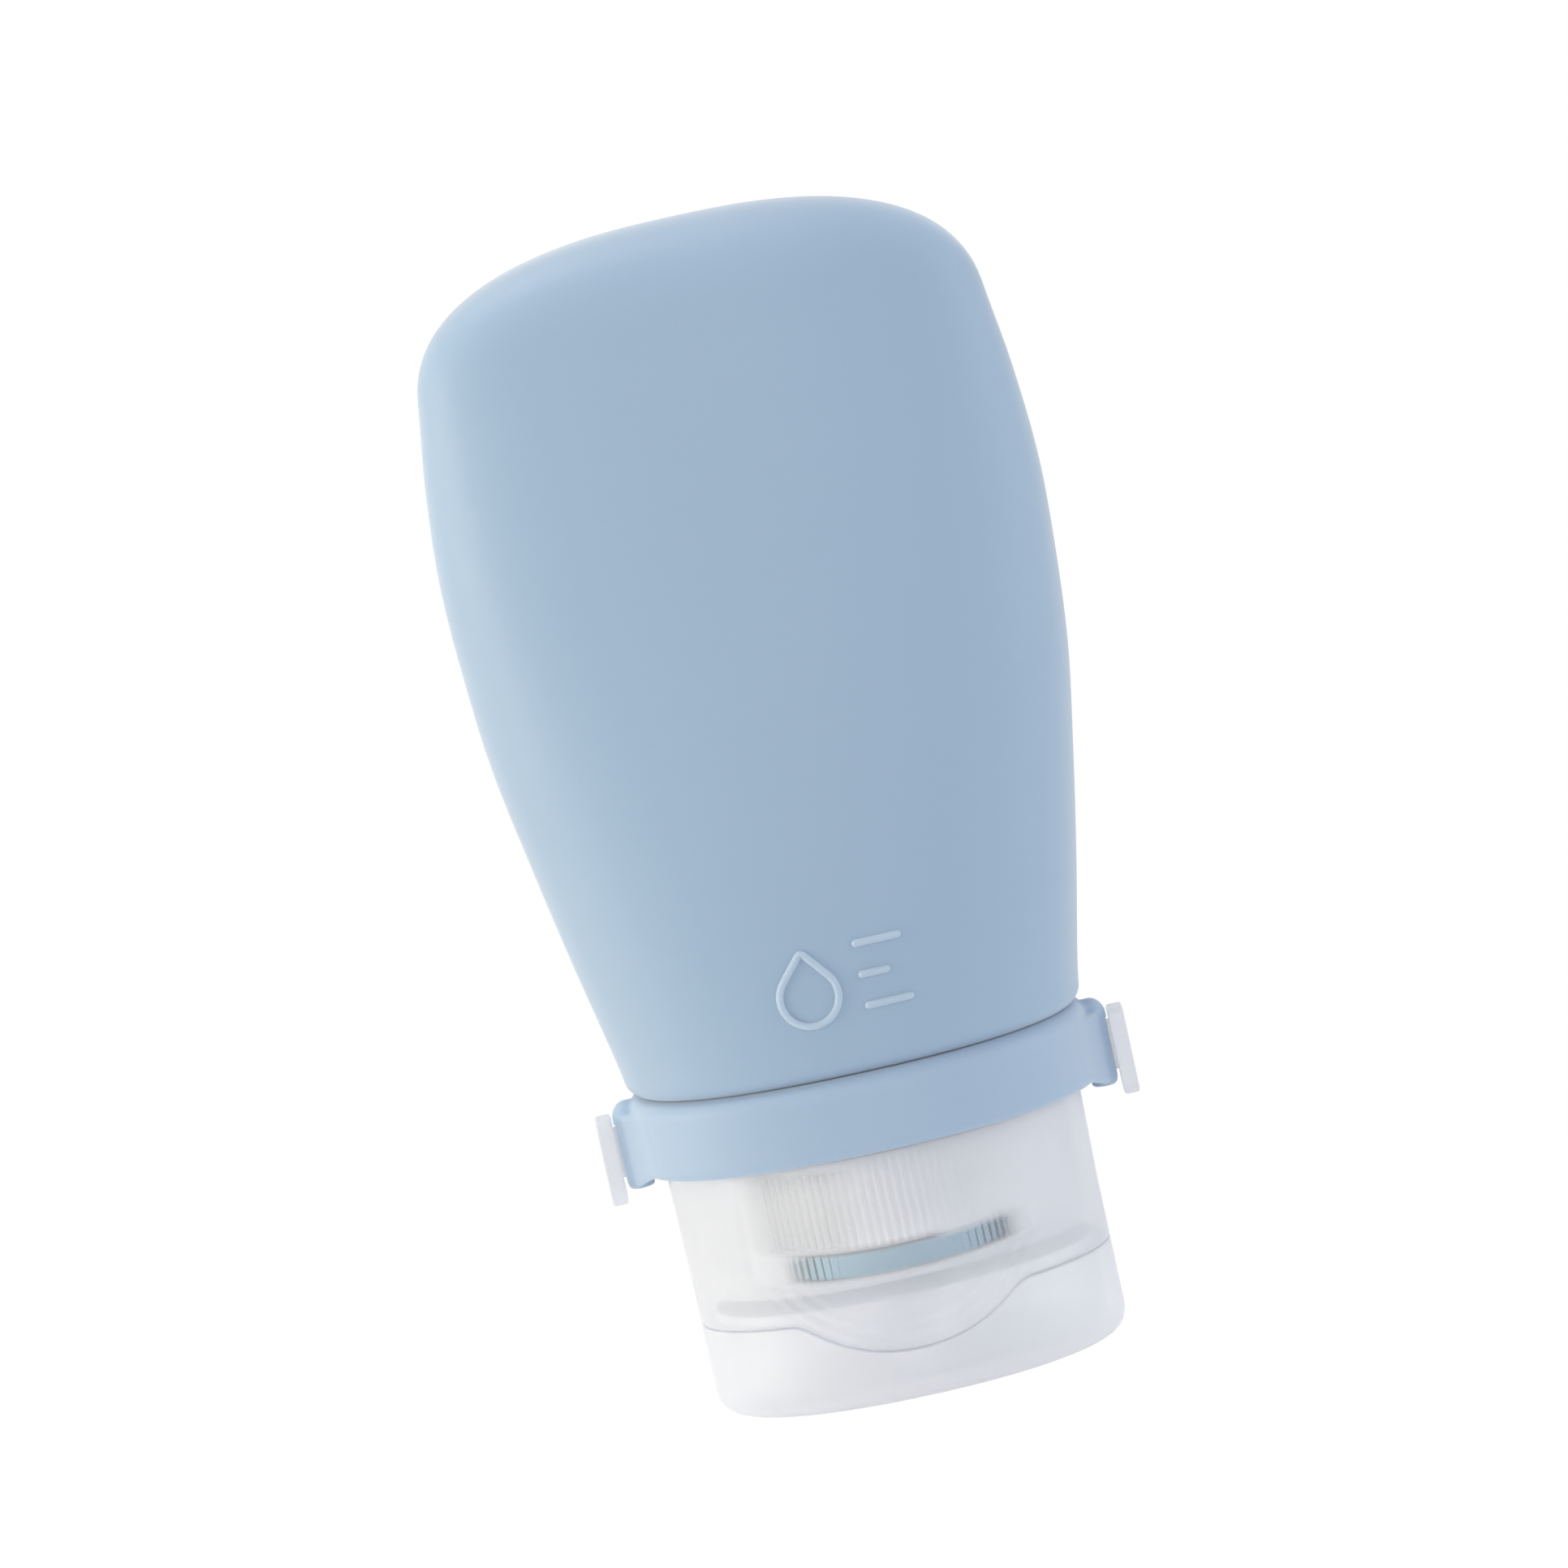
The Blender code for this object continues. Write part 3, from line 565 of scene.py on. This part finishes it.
def carve(piece, tool, operation="DIFFERENCE"):
    """An exact Boolean, applied at once so that the piece keeps a plain mesh."""
    step = piece.modifiers.new("carve", "BOOLEAN")
    step.operation = operation
    step.solver = "EXACT"
    step.object = tool
    shape = bpy.data.meshes.new_from_object(piece.evaluated_get(bpy.context.evaluated_depsgraph_get()))
    piece.modifiers.clear()
    piece.data = shape
    bpy.data.objects.remove(tool, do_unlink=True)


def block(low_x, high_x, half_depth, heights):
    """Corners of an upright block: a row of four at each of its two heights."""
    return np.array([[(low_x, -half_depth, height), (high_x, -half_depth, height),
                      (high_x, half_depth, height), (low_x, half_depth, height)]
                     for height in heights])


collar_silicone = moulded_silicone("powder blue silicone rubber, collar", "#9db3cb", "#a1b7cf")
collar = make_piece("collar", [surface(collar_points(), loop=True)], collar_silicone)
well_stations = [ring(height, well_radius) for height in (nub_foot - well_radius, well_top)]
slot = block(nub_centre, nub_centre + 2 * nub_radius, slot_half,
             (nub_foot - 2 * well_radius, slot_top))
for side in (-1, 1):
    well = sweep(well_stations, well_columns) + [side * nub_centre, 0, 0]
    for opening in (well, slot * [side, 1, 1]):
        carve(collar, make_piece("opening", [surface(opening)], collar_silicone))
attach(collar, "bottle")
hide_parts("collar_band")

# Link plates: small flat plates of natural polypropylene at the ends of the collar. A thin web
# with a round bead slides up into the nub's well, and holds the plate just off the nub.
plate_inner_x = 0.0234
plate_thickness = 0.00145
plate_half_depth = 0.00225
plate_foot = 0.0213
plate_top = 0.0294
plate_power = 9
plate_edge = 0.0003
plate_pole_radius = 0.0001
plate_columns = 96
web_half = 0.0003
web_foot = 0.0236
web_top = 0.0283
link_bead_radius = 0.00055
link_bead_foot = 0.0238
link_bead_top = 0.0281
link_bead_columns = 24


def lying_down(points):
    """Turn upright rings over, so that their axis lies along x."""
    return points[..., [2, 0, 1]]


# The plates' grey is painted shade: the same milky white polypropylene as the sleeve, darkened to how a
# thin translucent plate looks.
grey_shaded_plate_polypropylene = natural_polypropylene(
    "natural polypropylene plate, satin moulded", "#d6d9e3", 0.45)
plate_face = (plate_half_depth, (plate_top - plate_foot) / 2)
plate_outer_x = plate_inner_x + plate_thickness
plate_rows = rounded_stations([
    ring(plate_inner_x, plate_pole_radius), oval(plate_inner_x, plate_face, plate_power, plate_edge),
    oval(plate_outer_x, plate_face, plate_power, plate_edge), ring(plate_outer_x, plate_pole_radius)],
    spacing=0.0005, loop=False)
web = block(nub_centre, plate_inner_x + plate_edge, web_half, (web_foot, web_top))
bead = sweep([ring(height, link_bead_radius) for height in (link_bead_foot, link_bead_top)],
             link_bead_columns) + [nub_centre, 0, 0]
for side, name in ((-1, "left"), (1, "right")):
    flat = lying_down(sweep(plate_rows, plate_columns)) + [0, 0, (plate_foot + plate_top) / 2]
    plate = make_piece(f"link_plate_of_{name}_end", [surface(flat * [side, 1, 1])], grey_shaded_plate_polypropylene)
    for solid in (web, bead):
        carve(plate, make_piece("joined", [surface(solid * [side, 1, 1])], grey_shaded_plate_polypropylene), "UNION")
    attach(plate, "bottle")
    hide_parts(f"link_plate_{name}")

# Valve: a disc of pale blue silicone that seals the neck's rim, its colour lightened further as painted
# light for what the milky shell holds back. A thin dome over the nozzle has a cross-shaped slit, cut
# after moulding, which opens when the body is squeezed.
valve_foot = 0.0114
valve_top = 0.0136
valve_radius = 0.0105
valve_edge = 0.0004
valve_dome_radius = 0.0043
valve_dome_height = 0.0014
valve_dome_wall = 0.0007
dome_middle_share = 0.02
slit_half_length = 0.00225
slit_half_width = 0.0002
valve_columns = 128

sphere_radius = (valve_dome_radius ** 2 + valve_dome_height ** 2) / (2 * valve_dome_height)
hollow_radius = valve_dome_radius - valve_dome_wall


def dome_profile(foot, radius, points):
    """Heights and radii of a dome from near its middle to its rim. At a distance r from the axis its
    skin lies sqrt(R^2 - r^2) - R + h over its foot, with the sphere's radius R and the height h."""
    across = np.linspace(dome_middle_share, 1, points) * radius
    rise = np.sqrt(sphere_radius ** 2 - across ** 2) - sphere_radius + valve_dome_height
    return np.stack([foot + rise, across], -1)


dome_outer = dome_profile(valve_top, valve_dome_radius, points=14)
dome_inner = dome_profile(valve_top - valve_dome_wall, hollow_radius, points=12)
rim = rounded_stations([
    ring(valve_top, valve_dome_radius), ring(valve_top, valve_radius, valve_edge),
    ring(valve_foot, valve_radius, valve_edge), ring(valve_foot, hollow_radius, corner=0.0002),
    ring(dome_inner[-1, 0], hollow_radius)], spacing=0.0005, loop=False)
outline = np.vstack([dome_outer, rim[1:-1, :2], dome_inner[::-1]])
valve_stations = np.stack(np.broadcast_arrays(*ring(*outline.T)), -1)
# Pale blue silicone, lightened further: painted light for the light that the milky shell keeps off the
# disc.
disc_silicone_painted_lighter = moulded_silicone("blue silicone rubber, thin disc", "#b0e1fd", "#b4e4fe")
valve = make_piece("slit_valve_disc", [surface(sweep(valve_stations, valve_columns))], disc_silicone_painted_lighter)
for half_x, half_y in ((slit_half_length, slit_half_width), (slit_half_width, slit_half_length)):
    blade = block(-half_x, half_x, half_y, (valve_foot, valve_top + 2 * valve_dome_height))
    carve(valve, make_piece("blade", [surface(blade)], disc_silicone_painted_lighter))
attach(valve, "valve")
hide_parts("slit_valve")

# Thread sleeve: a round ring of natural polypropylene pressed into the shell, threaded inside and
# with fine upright ribs outside, which show through the shell as lines. It is milkier in the thick
# ribs than in the valleys, and polished clear in a belt at the front and the back.
sleeve_foot = 0.0114
sleeve_top = 0.0226
sleeve_outer_radius = 0.01355
sleeve_bore_radius = 0.01245
rib_count = 100
rib_height = 0.0008
sleeve_thread_foot = 0.0162
rib_sharpness = 1.5
ribbed_share = 0.6
threaded_share = 0.01
columns_per_rib = 7
belt_foot = 0.0118
belt_top = 0.0146
belt_half_width = 0.0106
belt_blur = 0.0002
belt_side_blur = 0.0006
belt_opacity = 0.03
valley_opacity = 0.34
rib_opacity = 0.96


def combined_edges(tree, edges, operation, share):
    """Fade from 0 to 1 across each edge, from its value less a blur to its value plus the blur, and
    combine the fades by an operation. A negative blur turns an edge round."""
    for value, edge, blur in edges:
        past = add_node(tree, "ShaderNodeMapRange", {
            "Value": value, "From Min": edge - blur, "From Max": edge + blur})
        share = add_node(tree, "ShaderNodeMath", {
            0: past.outputs["Result"], 1: share}, operation=operation).outputs[0]
    return share


sleeve_rows = rounded_stations([
    ring(sleeve_foot, sleeve_outer_radius, corner=0.0003),
    ring(sleeve_top, sleeve_outer_radius, corner=0.0003),
    ring(sleeve_top, sleeve_bore_radius, corner=0.0002),
    ring(sleeve_foot, sleeve_bore_radius, corner=0.0002)], spacing=[0.0009, 0.0005, 0.00018, 0.0005])
sleeve_grid = sweep(sleeve_rows, rib_count * columns_per_rib)
sleeve_turns = np.arctan2(sleeve_grid[..., 1], sleeve_grid[..., 0])
reach = np.hypot(sleeve_grid[..., 0], sleeve_grid[..., 1])
outward = np.clip((reach - sleeve_bore_radius) / (sleeve_outer_radius - sleeve_bore_radius), 0, 1)
valley = rib_height * np.abs(np.sin(sleeve_turns * rib_count / 2)) ** rib_sharpness
valley *= outward > ribbed_share
crest = thread_rise(sleeve_turns, sleeve_grid[..., 2], sleeve_thread_foot)
crest *= outward < threaded_share
sleeve_grid[..., :2] *= ((reach - valley - crest) / reach)[..., None]
ring_polypropylene = natural_polypropylene(
    "natural polypropylene ring, polished belt", "#fcfdff", rib_opacity)
tree = ring_polypropylene.node_tree
place = add_node(tree, "ShaderNodeTexCoord", {}).outputs["Object"]
parts = add_node(tree, "ShaderNodeSeparateXYZ", {"Vector": place}).outputs
aside = add_node(tree, "ShaderNodeMath", {0: parts["X"]}, operation="ABSOLUTE").outputs[0]
in_plan = add_node(tree, "ShaderNodeVectorMath", {
    0: place, 1: (1, 1, 0)}, operation="MULTIPLY").outputs[0]
from_axis = add_node(tree, "ShaderNodeVectorMath", {0: in_plan}, operation="LENGTH").outputs["Value"]
thick = add_node(tree, "ShaderNodeMapRange", {
    "Value": from_axis, "From Min": sleeve_outer_radius - rib_height, "From Max": sleeve_outer_radius,
    "To Min": valley_opacity, "To Max": rib_opacity})
off_belt = combined_edges(tree, (
    (parts["Z"], belt_foot, -belt_blur), (parts["Z"], belt_top, belt_blur),
    (aside, belt_half_width, belt_side_blur)), "MAXIMUM", 0.0)
milkiness = add_node(tree, "ShaderNodeMix", {
    "Factor": off_belt, "A": belt_opacity, "B": thick.outputs["Result"]})
set_inputs(tree, tree.nodes["Principled BSDF"], {
    "Alpha": passing_on(tree, milkiness.outputs["Result"])})
sleeve = make_piece("ribbed_sleeve", [surface(sleeve_grid, loop=True)], ring_polypropylene)
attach(sleeve, "closure")
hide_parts("thread_sleeve")

# Shell of the closure: an oval skirt in frosted polypropylene with a deck and a nozzle. The
# front edge dips in a rounded tongue that fills the lid's notch, with a dished thumb scoop
# and faint ripples above it. Two hinge barrels stand off the back.
skirt_foot = 0.00877
skirt_top = 0.02348
cap_half_width = 0.0195
cap_half_depth = 0.0156
cap_taper = 0.0002
cap_edge = 0.00025
skirt_top_edge = 0.0003
cap_wall = 0.0015
cap_power = 2.15
deck_foot = 0.0097
deck_top = 0.0111
nozzle_foot = 0.0075
nozzle_outer_radius = 0.0046
nozzle_bore_radius = 0.0031
notch_radius = 0.01555
notch_centre_height = 0.02025
notch_gap = 0.00014
notch_blend = 0.0009
rim_blend_height = 0.0140
scoop_radius = 0.019
scoop_middle_y = -0.0338
scoop_middle_height = 0.0052
scoop_blend = 0.0003
ripple_pitch = 0.0012
ripple_height = 0.00011
ripple_reach = 0.0042
ripple_top = 0.0130
ripple_start_fade = 0.0006
ripple_end_fade = 0.0015
ripple_top_fade = 0.002
hinge_y = 0.01575
hinge_z = 0.00875
barrel_radius = 0.0012
barrel_edge = 0.0002
barrel_columns = 40
pin_bore_radius = 0.0008
pin_bore_edge = 0.0001
relief_radius = 0.0015
shell_relief = (0, 0.0045)
shell_barrel_ends = (0.0042, 0.0076)
cap_columns = 360

# Clearer zones of the shell's front: foot, top, left and right end, fade at the ends, and opacity.
touched = (0.0150, 0.0225, -0.0122, -0.0042, 0.0016, 0.21)
half_clear = (0.0122, 0.0151, -0.0092, 0.0040, 0.0010, 0.26)
clear_band = (0.0121, 0.0143, -0.0094, 0.0110, 0.0015, 0.17)
zone_bend = 5.0
zone_blur = 0.0003


def dipped_edge(points, shares, level, radius):
    """Lower the rows near an edge at the front, each by its share, to a circle's lower side with
    rounded shoulders."""
    circle = notch_centre_height - np.sqrt(np.clip(radius ** 2 - points[..., 0] ** 2, 0, None))
    circle = np.where(np.abs(points[..., 0]) < radius, circle, notch_centre_height)
    dip = smooth_least(np.full(circle.shape, level), circle, notch_blend) - level
    points[..., 2] += np.where(points[..., 1] < 0, dip, 0) * shares[:, None]


def relieve(points, near, far):
    """Push what lies in the hinge's clearance cylinder between two distances from the middle in to
    the cylinder's surface."""
    half = np.sqrt(np.clip(relief_radius ** 2 - (points[..., 2] - hinge_z) ** 2, 0, None))
    limit = hinge_y - half
    off_middle = np.abs(points[..., 0])
    inside = (half > 0) & (off_middle >= near) & (off_middle < far) & (points[..., 1] > limit)
    points[..., 1] = np.where(inside, limit, points[..., 1])


def barrels(spans):
    """Round knuckles about the hinge's axis, bored for the pin, with softened ends."""
    knuckles = []
    for start, end in spans:
        rows = rounded_stations([
            ring(start, barrel_radius, barrel_edge), ring(end, barrel_radius, barrel_edge),
            ring(end, pin_bore_radius, pin_bore_edge), ring(start, pin_bore_radius, pin_bore_edge)],
            spacing=0.0006)
        knuckle = lying_down(sweep(rows, barrel_columns)) + [0, hinge_y, hinge_z]
        knuckles.append(surface(knuckle, loop=True))
    return knuckles


def frosted_polypropylene(name, colour, warm_colour):
    """Clarified polypropylene from a spark-eroded mould: its even frost scatters the gloss and makes
    the wall milky, with faint clouds, and milkier where it is seen at a slant. It is clearer where
    the ribbed sleeve touches it on the left, and in a band over the sleeve's polished belt, where
    the blue disc shows. These zones bend up with the square of x. The real frost is finer, and is
    drawn as coarse as it needs to show."""
    frost_size = 0.00045
    frost_depth = 0.00002
    cloud_size = 0.009
    opacities = (0.50, 0.58)
    slant_opacity = 0.9
    slant_power = 2.5
    material, tree, place = new_material(name)
    clouds = add_node(tree, "ShaderNodeTexNoise", {
        "Vector": place, "Scale": 1 / cloud_size, "Detail": 2.0, "Distortion": 0.6}).outputs["Fac"]
    tint = add_node(tree, "ShaderNodeMix", {
        "Factor": clouds, mix_a: (*linear(colour), 1), mix_b: (*linear(warm_colour), 1)},
        data_type="RGBA")
    frost = add_node(tree, "ShaderNodeTexNoise", {
        "Vector": place, "Scale": 1 / frost_size, "Detail": 3.0}).outputs["Fac"]
    gloss = add_node(tree, "ShaderNodeMapRange", {
        "Value": frost, "To Min": 0.40, "To Max": 0.50})
    relief = add_node(tree, "ShaderNodeBump", {
        "Height": frost, "Strength": 0.2, "Distance": frost_depth})
    parts = add_node(tree, "ShaderNodeSeparateXYZ", {"Vector": place}).outputs
    square = add_node(tree, "ShaderNodeMath", {0: parts["X"], 1: parts["X"]}, operation="MULTIPLY")
    bent = add_node(tree, "ShaderNodeMath", {
        0: square.outputs[0], 1: -zone_bend, 2: parts["Z"]}, operation="MULTIPLY_ADD").outputs[0]
    opacity = add_node(tree, "ShaderNodeMapRange", {
        "Value": clouds, "To Min": opacities[0], "To Max": opacities[1]}).outputs["Result"]
    for foot, top, left, right, side_blur, inside in (touched, half_clear, clear_band):
        share = combined_edges(tree, (
            (bent, foot, zone_blur), (bent, top, -zone_blur), (parts["X"], left, side_blur),
            (parts["X"], right, -side_blur), (parts["Y"], 0, -side_blur)), "MULTIPLY", 1.0)
        opacity = add_node(tree, "ShaderNodeMix", {
            "Factor": share, "A": opacity, "B": inside}).outputs["Result"]
    facing = add_node(tree, "ShaderNodeLayerWeight", {"Blend": 0.5}).outputs["Facing"]
    slant = add_node(tree, "ShaderNodeMath", {0: facing, 1: slant_power}, operation="POWER")
    opacity = add_node(tree, "ShaderNodeMix", {
        "Factor": slant.outputs[0], "A": opacity, "B": slant_opacity}).outputs["Result"]
    set_inputs(tree, tree.nodes["Principled BSDF"], {
        "Base Color": tint.outputs[mix_result], "Roughness": gloss.outputs["Result"],
        "Normal": relief.outputs["Normal"], "Alpha": passing_on(tree, opacity), "IOR": 1.49,
        "Transmission Weight": 0.12})
    return material


# Both colours carry a faint blue cast: partly the plastic's own tint, partly painted blue light thrown
# on the milky wall by the collar and the disc.
frosted_plastic = frosted_polypropylene(
    "clarified polypropylene, spark-eroded frost", "#e6e8ef", "#eaecf2")

cap_top = (cap_half_width, cap_half_depth)
cap_foot = (cap_half_width - cap_taper, cap_half_depth - cap_taper)
shell_rows = rounded_stations([
    oval(skirt_foot, cap_foot, cap_power, cap_edge),
    oval(rim_blend_height, cap_foot, cap_power),
    oval(skirt_top, cap_top, cap_power, skirt_top_edge),
    oval(skirt_top, cap_top, cap_power, skirt_top_edge, cap_wall),
    oval(deck_top, cap_foot, cap_power, corner=0.0004, inward=cap_wall),
    ring(deck_top, nozzle_bore_radius, corner=0.0003),
    ring(nozzle_foot, nozzle_bore_radius, corner=0.0004),
    ring(nozzle_foot, nozzle_outer_radius, corner=0.0005),
    ring(deck_foot, nozzle_outer_radius, corner=0.0004),
    oval(deck_foot, cap_foot, cap_power, corner=0.0002, inward=cap_wall),
    oval(skirt_foot, cap_foot, cap_power, cap_edge, cap_wall)],
    spacing=[0.00018, 0.0006, 0.0005] + 8 * [0.0008])
shell_grid = sweep(shell_rows, cap_columns)
row_heights, row_widths = shell_rows[:, 0], shell_rows[:, 1]
wide = row_widths > cap_foot[0] - cap_wall - tolerance
outer_side = row_widths > cap_foot[0] - cap_wall / 2
outer_share = np.clip((rim_blend_height - row_heights) / (rim_blend_height - skirt_foot), 0, 1)
inner_share = np.clip((deck_foot - row_heights) / (deck_foot - skirt_foot), 0, 1)
dipped_edge(shell_grid, np.where(wide, np.where(outer_side, outer_share, inner_share), 0),
            skirt_foot, notch_radius - notch_gap)
front = outer_side[:, None] & (shell_grid[..., 1] < 0)
x, y, height = np.moveaxis(shell_grid, -1, 0)
from_middle = x ** 2 + (height - scoop_middle_height) ** 2
dish = scoop_middle_y + np.sqrt(np.clip(scoop_radius ** 2 - from_middle, 0, None))
dished = -smooth_least(-y, -dish, scoop_blend)
in_from_edge = notch_radius - notch_gap - np.hypot(x, height - notch_centre_height)
fade = np.clip(in_from_edge / ripple_start_fade, 0, 1)
fade *= np.clip((ripple_reach - in_from_edge) / ripple_end_fade, 0, 1)
fade *= np.clip((ripple_top - height) / ripple_top_fade, 0, 1)
ripple = ripple_height * fade * np.sin(2 * np.pi * in_from_edge / ripple_pitch)
shell_grid[..., 1] = np.where(front, dished + ripple, y)
relieve(shell_grid, *shell_relief)
shell = make_piece("closure_shell", [surface(shell_grid, loop=True)], frosted_plastic)
shell_barrels = make_piece("hinge_barrels_of_shell", barrels([
    shell_barrel_ends, (-shell_barrel_ends[1], -shell_barrel_ends[0])]), frosted_plastic)
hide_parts("cap_shell")
for piece in (shell, shell_barrels):
    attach(piece, "closure")

# Hinge pin: a rod of natural polypropylene with rounded ends. It is pushed through all three
# barrels and lies loose in them.
pin_radius = 0.0005
pin_half_length = 0.0076
pin_end_radius = 0.0002
pin_pole_radius = 0.00005
pin_columns = 32

pin_rows = rounded_stations([
    ring(-pin_half_length, pin_pole_radius), ring(-pin_half_length, pin_radius, pin_end_radius),
    ring(pin_half_length, pin_radius, pin_end_radius), ring(pin_half_length, pin_pole_radius)],
    spacing=0.001, loop=False)
pin_skin = lying_down(sweep(pin_rows, pin_columns)) + [0, hinge_y, hinge_z]
pin = make_piece("lid_hinge_pin", [surface(pin_skin)], milky_polypropylene)
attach(pin, "closure")
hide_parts("hinge_pin")

# Flip lid: a shallow oval cup of the same frosted polypropylene, flat on its end so that the
# bottle stands on it. The front edge is notched round the shell's tongue, a plug inside stops
# the nozzle, and one barrel at the back turns on the pin.
lid_top = 0.00863
lid_end_radius = 0.0025
lid_end_wall = 0.0016
lid_pole_radius = 0.0002
plug_radius = 0.0028
plug_top = 0.0087
lid_relief = (0.0036, 0.0079)
lid_barrel_half = 0.0039

lid_rows = rounded_stations([
    ring(0, lid_pole_radius),
    oval(0, cap_foot, cap_power, lid_end_radius),
    oval(lid_top, cap_foot, cap_power, cap_edge),
    oval(lid_top, cap_foot, cap_power, cap_edge, cap_wall),
    oval(lid_end_wall, cap_foot, cap_power, corner=0.0017, inward=cap_wall),
    ring(lid_end_wall, plug_radius, corner=0.0003),
    ring(plug_top, plug_radius, corner=0.0005),
    ring(plug_top, lid_pole_radius)],
    spacing=[0.002, 0.0003, 0.0005, 0.0006] + 4 * [0.001], loop=False, corner_rows=9)
lid_grid = sweep(lid_rows, cap_columns)
edge_share = np.clip((lid_rows[:, 0] - lid_end_radius) / (lid_top - lid_end_radius), 0, 1)
dipped_edge(lid_grid, np.where(lid_rows[:, 1] > cap_foot[0] - cap_wall - tolerance, edge_share, 0),
            lid_top, notch_radius)
relieve(lid_grid, *lid_relief)
lid = make_piece("flip_lid_cup", [surface(lid_grid)], frosted_plastic)
lid_barrel = make_piece(
    "hinge_barrel_of_lid", barrels([(-lid_barrel_half, lid_barrel_half)]), frosted_plastic)
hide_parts("flip_lid")
for piece in (lid, lid_barrel):
    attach(piece, "lid")

# Sheet and surroundings: a broad matt white sheet in a white studio. Only the view of them is
# raised to plain white, so the sheet keeps the bottle's shadow. It lies far enough below the lid
# for the closure to come down off the neck and the lid to swing right round.
sheet_half = 4.0
sheet_height = -0.034
sheet_lift = 0.26
fade_start = 0.05
fade_end = 0.22
ambient = 0.50

floor_mesh = bpy.data.meshes.new("white_sheet")
floor_mesh.from_pydata([(-sheet_half, -sheet_half, 0), (sheet_half, -sheet_half, 0),
                        (sheet_half, sheet_half, 0), (-sheet_half, sheet_half, 0)], [], [(0, 1, 2, 3)])
floor = bpy.data.objects.new("white_sheet", floor_mesh)
floor.location.z = sheet_height
bpy.context.scene.collection.objects.link(floor)


def seen_directly(tree):
    """One for rays from the camera, in a mirror or through glass, and zero for light on the object."""
    path = add_node(tree, "ShaderNodeLightPath", {})
    either = add_node(tree, "ShaderNodeMath", {
        0: path.outputs["Is Camera Ray"], 1: path.outputs["Is Glossy Ray"]}, operation="MAXIMUM")
    return add_node(tree, "ShaderNodeMath", {
        0: either.outputs[0], 1: path.outputs["Is Transmission Ray"]}, operation="MAXIMUM").outputs[0]


sheet, tree, place = new_material("matt white sheet")
matt = add_node(tree, "ShaderNodeBsdfDiffuse", {"Color": (*linear("#f2f2f3"), 1)})
lift = add_node(tree, "ShaderNodeMath", {0: seen_directly(tree), 1: sheet_lift}, operation="MULTIPLY")
glow = add_node(tree, "ShaderNodeEmission", {"Strength": lift.outputs[0]})
near = add_node(tree, "ShaderNodeAddShader", {0: matt.outputs[0], 1: glow.outputs[0]})
white = add_node(tree, "ShaderNodeEmission", {"Strength": 1.0})
far_off = add_node(tree, "ShaderNodeVectorMath", {0: place}, operation="LENGTH").outputs["Value"]
whitening = add_node(tree, "ShaderNodeMapRange", {
    "Value": far_off, "From Min": fade_start, "From Max": fade_end}, interpolation_type="SMOOTHSTEP")
white_if_seen = add_node(tree, "ShaderNodeMath", {
    0: seen_directly(tree), 1: whitening.outputs["Result"]}, operation="MULTIPLY")
both = add_node(tree, "ShaderNodeMixShader", {
    0: white_if_seen.outputs[0], 1: near.outputs[0], 2: white.outputs[0]})
set_inputs(tree, tree.nodes["Material Output"], {"Surface": both.outputs[0]})
floor_mesh.materials.append(sheet)

world = bpy.data.worlds.new("white studio")
bpy.context.scene.world = world
world.use_nodes = True
tree = world.node_tree
brightness = add_node(tree, "ShaderNodeMapRange", {
    "Value": seen_directly(tree), "To Min": ambient, "To Max": 1.0})
set_inputs(tree, tree.nodes["Background"], {
    "Strength": brightness.outputs["Result"], "Color": (1, 1, 1, 1)})

# Lights: four square softboxes about a metre off. The left one is warm and small, the right one
# cool, and those at the front and over the tail are plain white.
bottle_middle = (0, 0, 0.055)


def softbox(name, place, size, power, colour):
    """A square area lamp, with its size in metres and its power in watts, that faces the bottle."""
    lamp = bpy.data.lights.new(name, "AREA")
    lamp.size = size
    lamp.energy = power
    lamp.color = linear(colour)
    box = bpy.data.objects.new(name, lamp)
    bpy.context.scene.collection.objects.link(box)
    box.location = place
    aim = np.array(bottle_middle) - np.array(place)
    yaw = math.atan2(aim[0], -aim[1])
    pitch = math.atan2(math.hypot(aim[0], aim[1]), -aim[2])
    box.rotation_euler = (pitch, 0, yaw + math.pi)


softbox("left softbox", (-0.95, -0.20, 0.19), size=0.36, power=4.8, colour="#fff9e6")
softbox("front softbox", (0.10, -1.2, 0.38), size=0.6, power=2.55, colour="#ffffff")
softbox("right softbox", (0.95, -0.20, 0.32), size=0.6, power=2.9, colour="#eff8ff")
softbox("tail softbox", (-0.30, 0.10, 1.00), size=0.4, power=3.8, colour="#ffffff")

# Camera: a long lens a little above the bottle's middle, rolled so that the tail leans left.
camera_distance = 1.50
camera_elevation = math.radians(8.6)
camera_roll = math.radians(12.4)
frame_width = 0.1442
aim_height = 0.0548
aim_right = 0.00143
aim_down = 0.00107
sensor_width = 36.0

lens = bpy.data.cameras.new("camera")
lens.sensor_width = sensor_width
lens.lens = sensor_width * camera_distance / frame_width
lens.clip_start = 0.01
lens.clip_end = 50
camera = bpy.data.objects.new("camera", lens)
bpy.context.scene.collection.objects.link(camera)
back = np.array([0, -math.cos(camera_elevation), math.sin(camera_elevation)])
level_right = np.array([1.0, 0, 0])
level_up = np.array([0, math.sin(camera_elevation), math.cos(camera_elevation)])
right = math.cos(camera_roll) * level_right - math.sin(camera_roll) * level_up
up = math.sin(camera_roll) * level_right + math.cos(camera_roll) * level_up
place = np.array([0, 0, aim_height]) + camera_distance * back - aim_right * right + aim_down * up
turned = Matrix(np.stack([right, up, back], 1).tolist()).to_4x4()
camera.matrix_world = Matrix.Translation(place.tolist()) @ turned
bpy.context.scene.camera = camera
bpy.context.scene.view_settings.view_transform = "Standard"
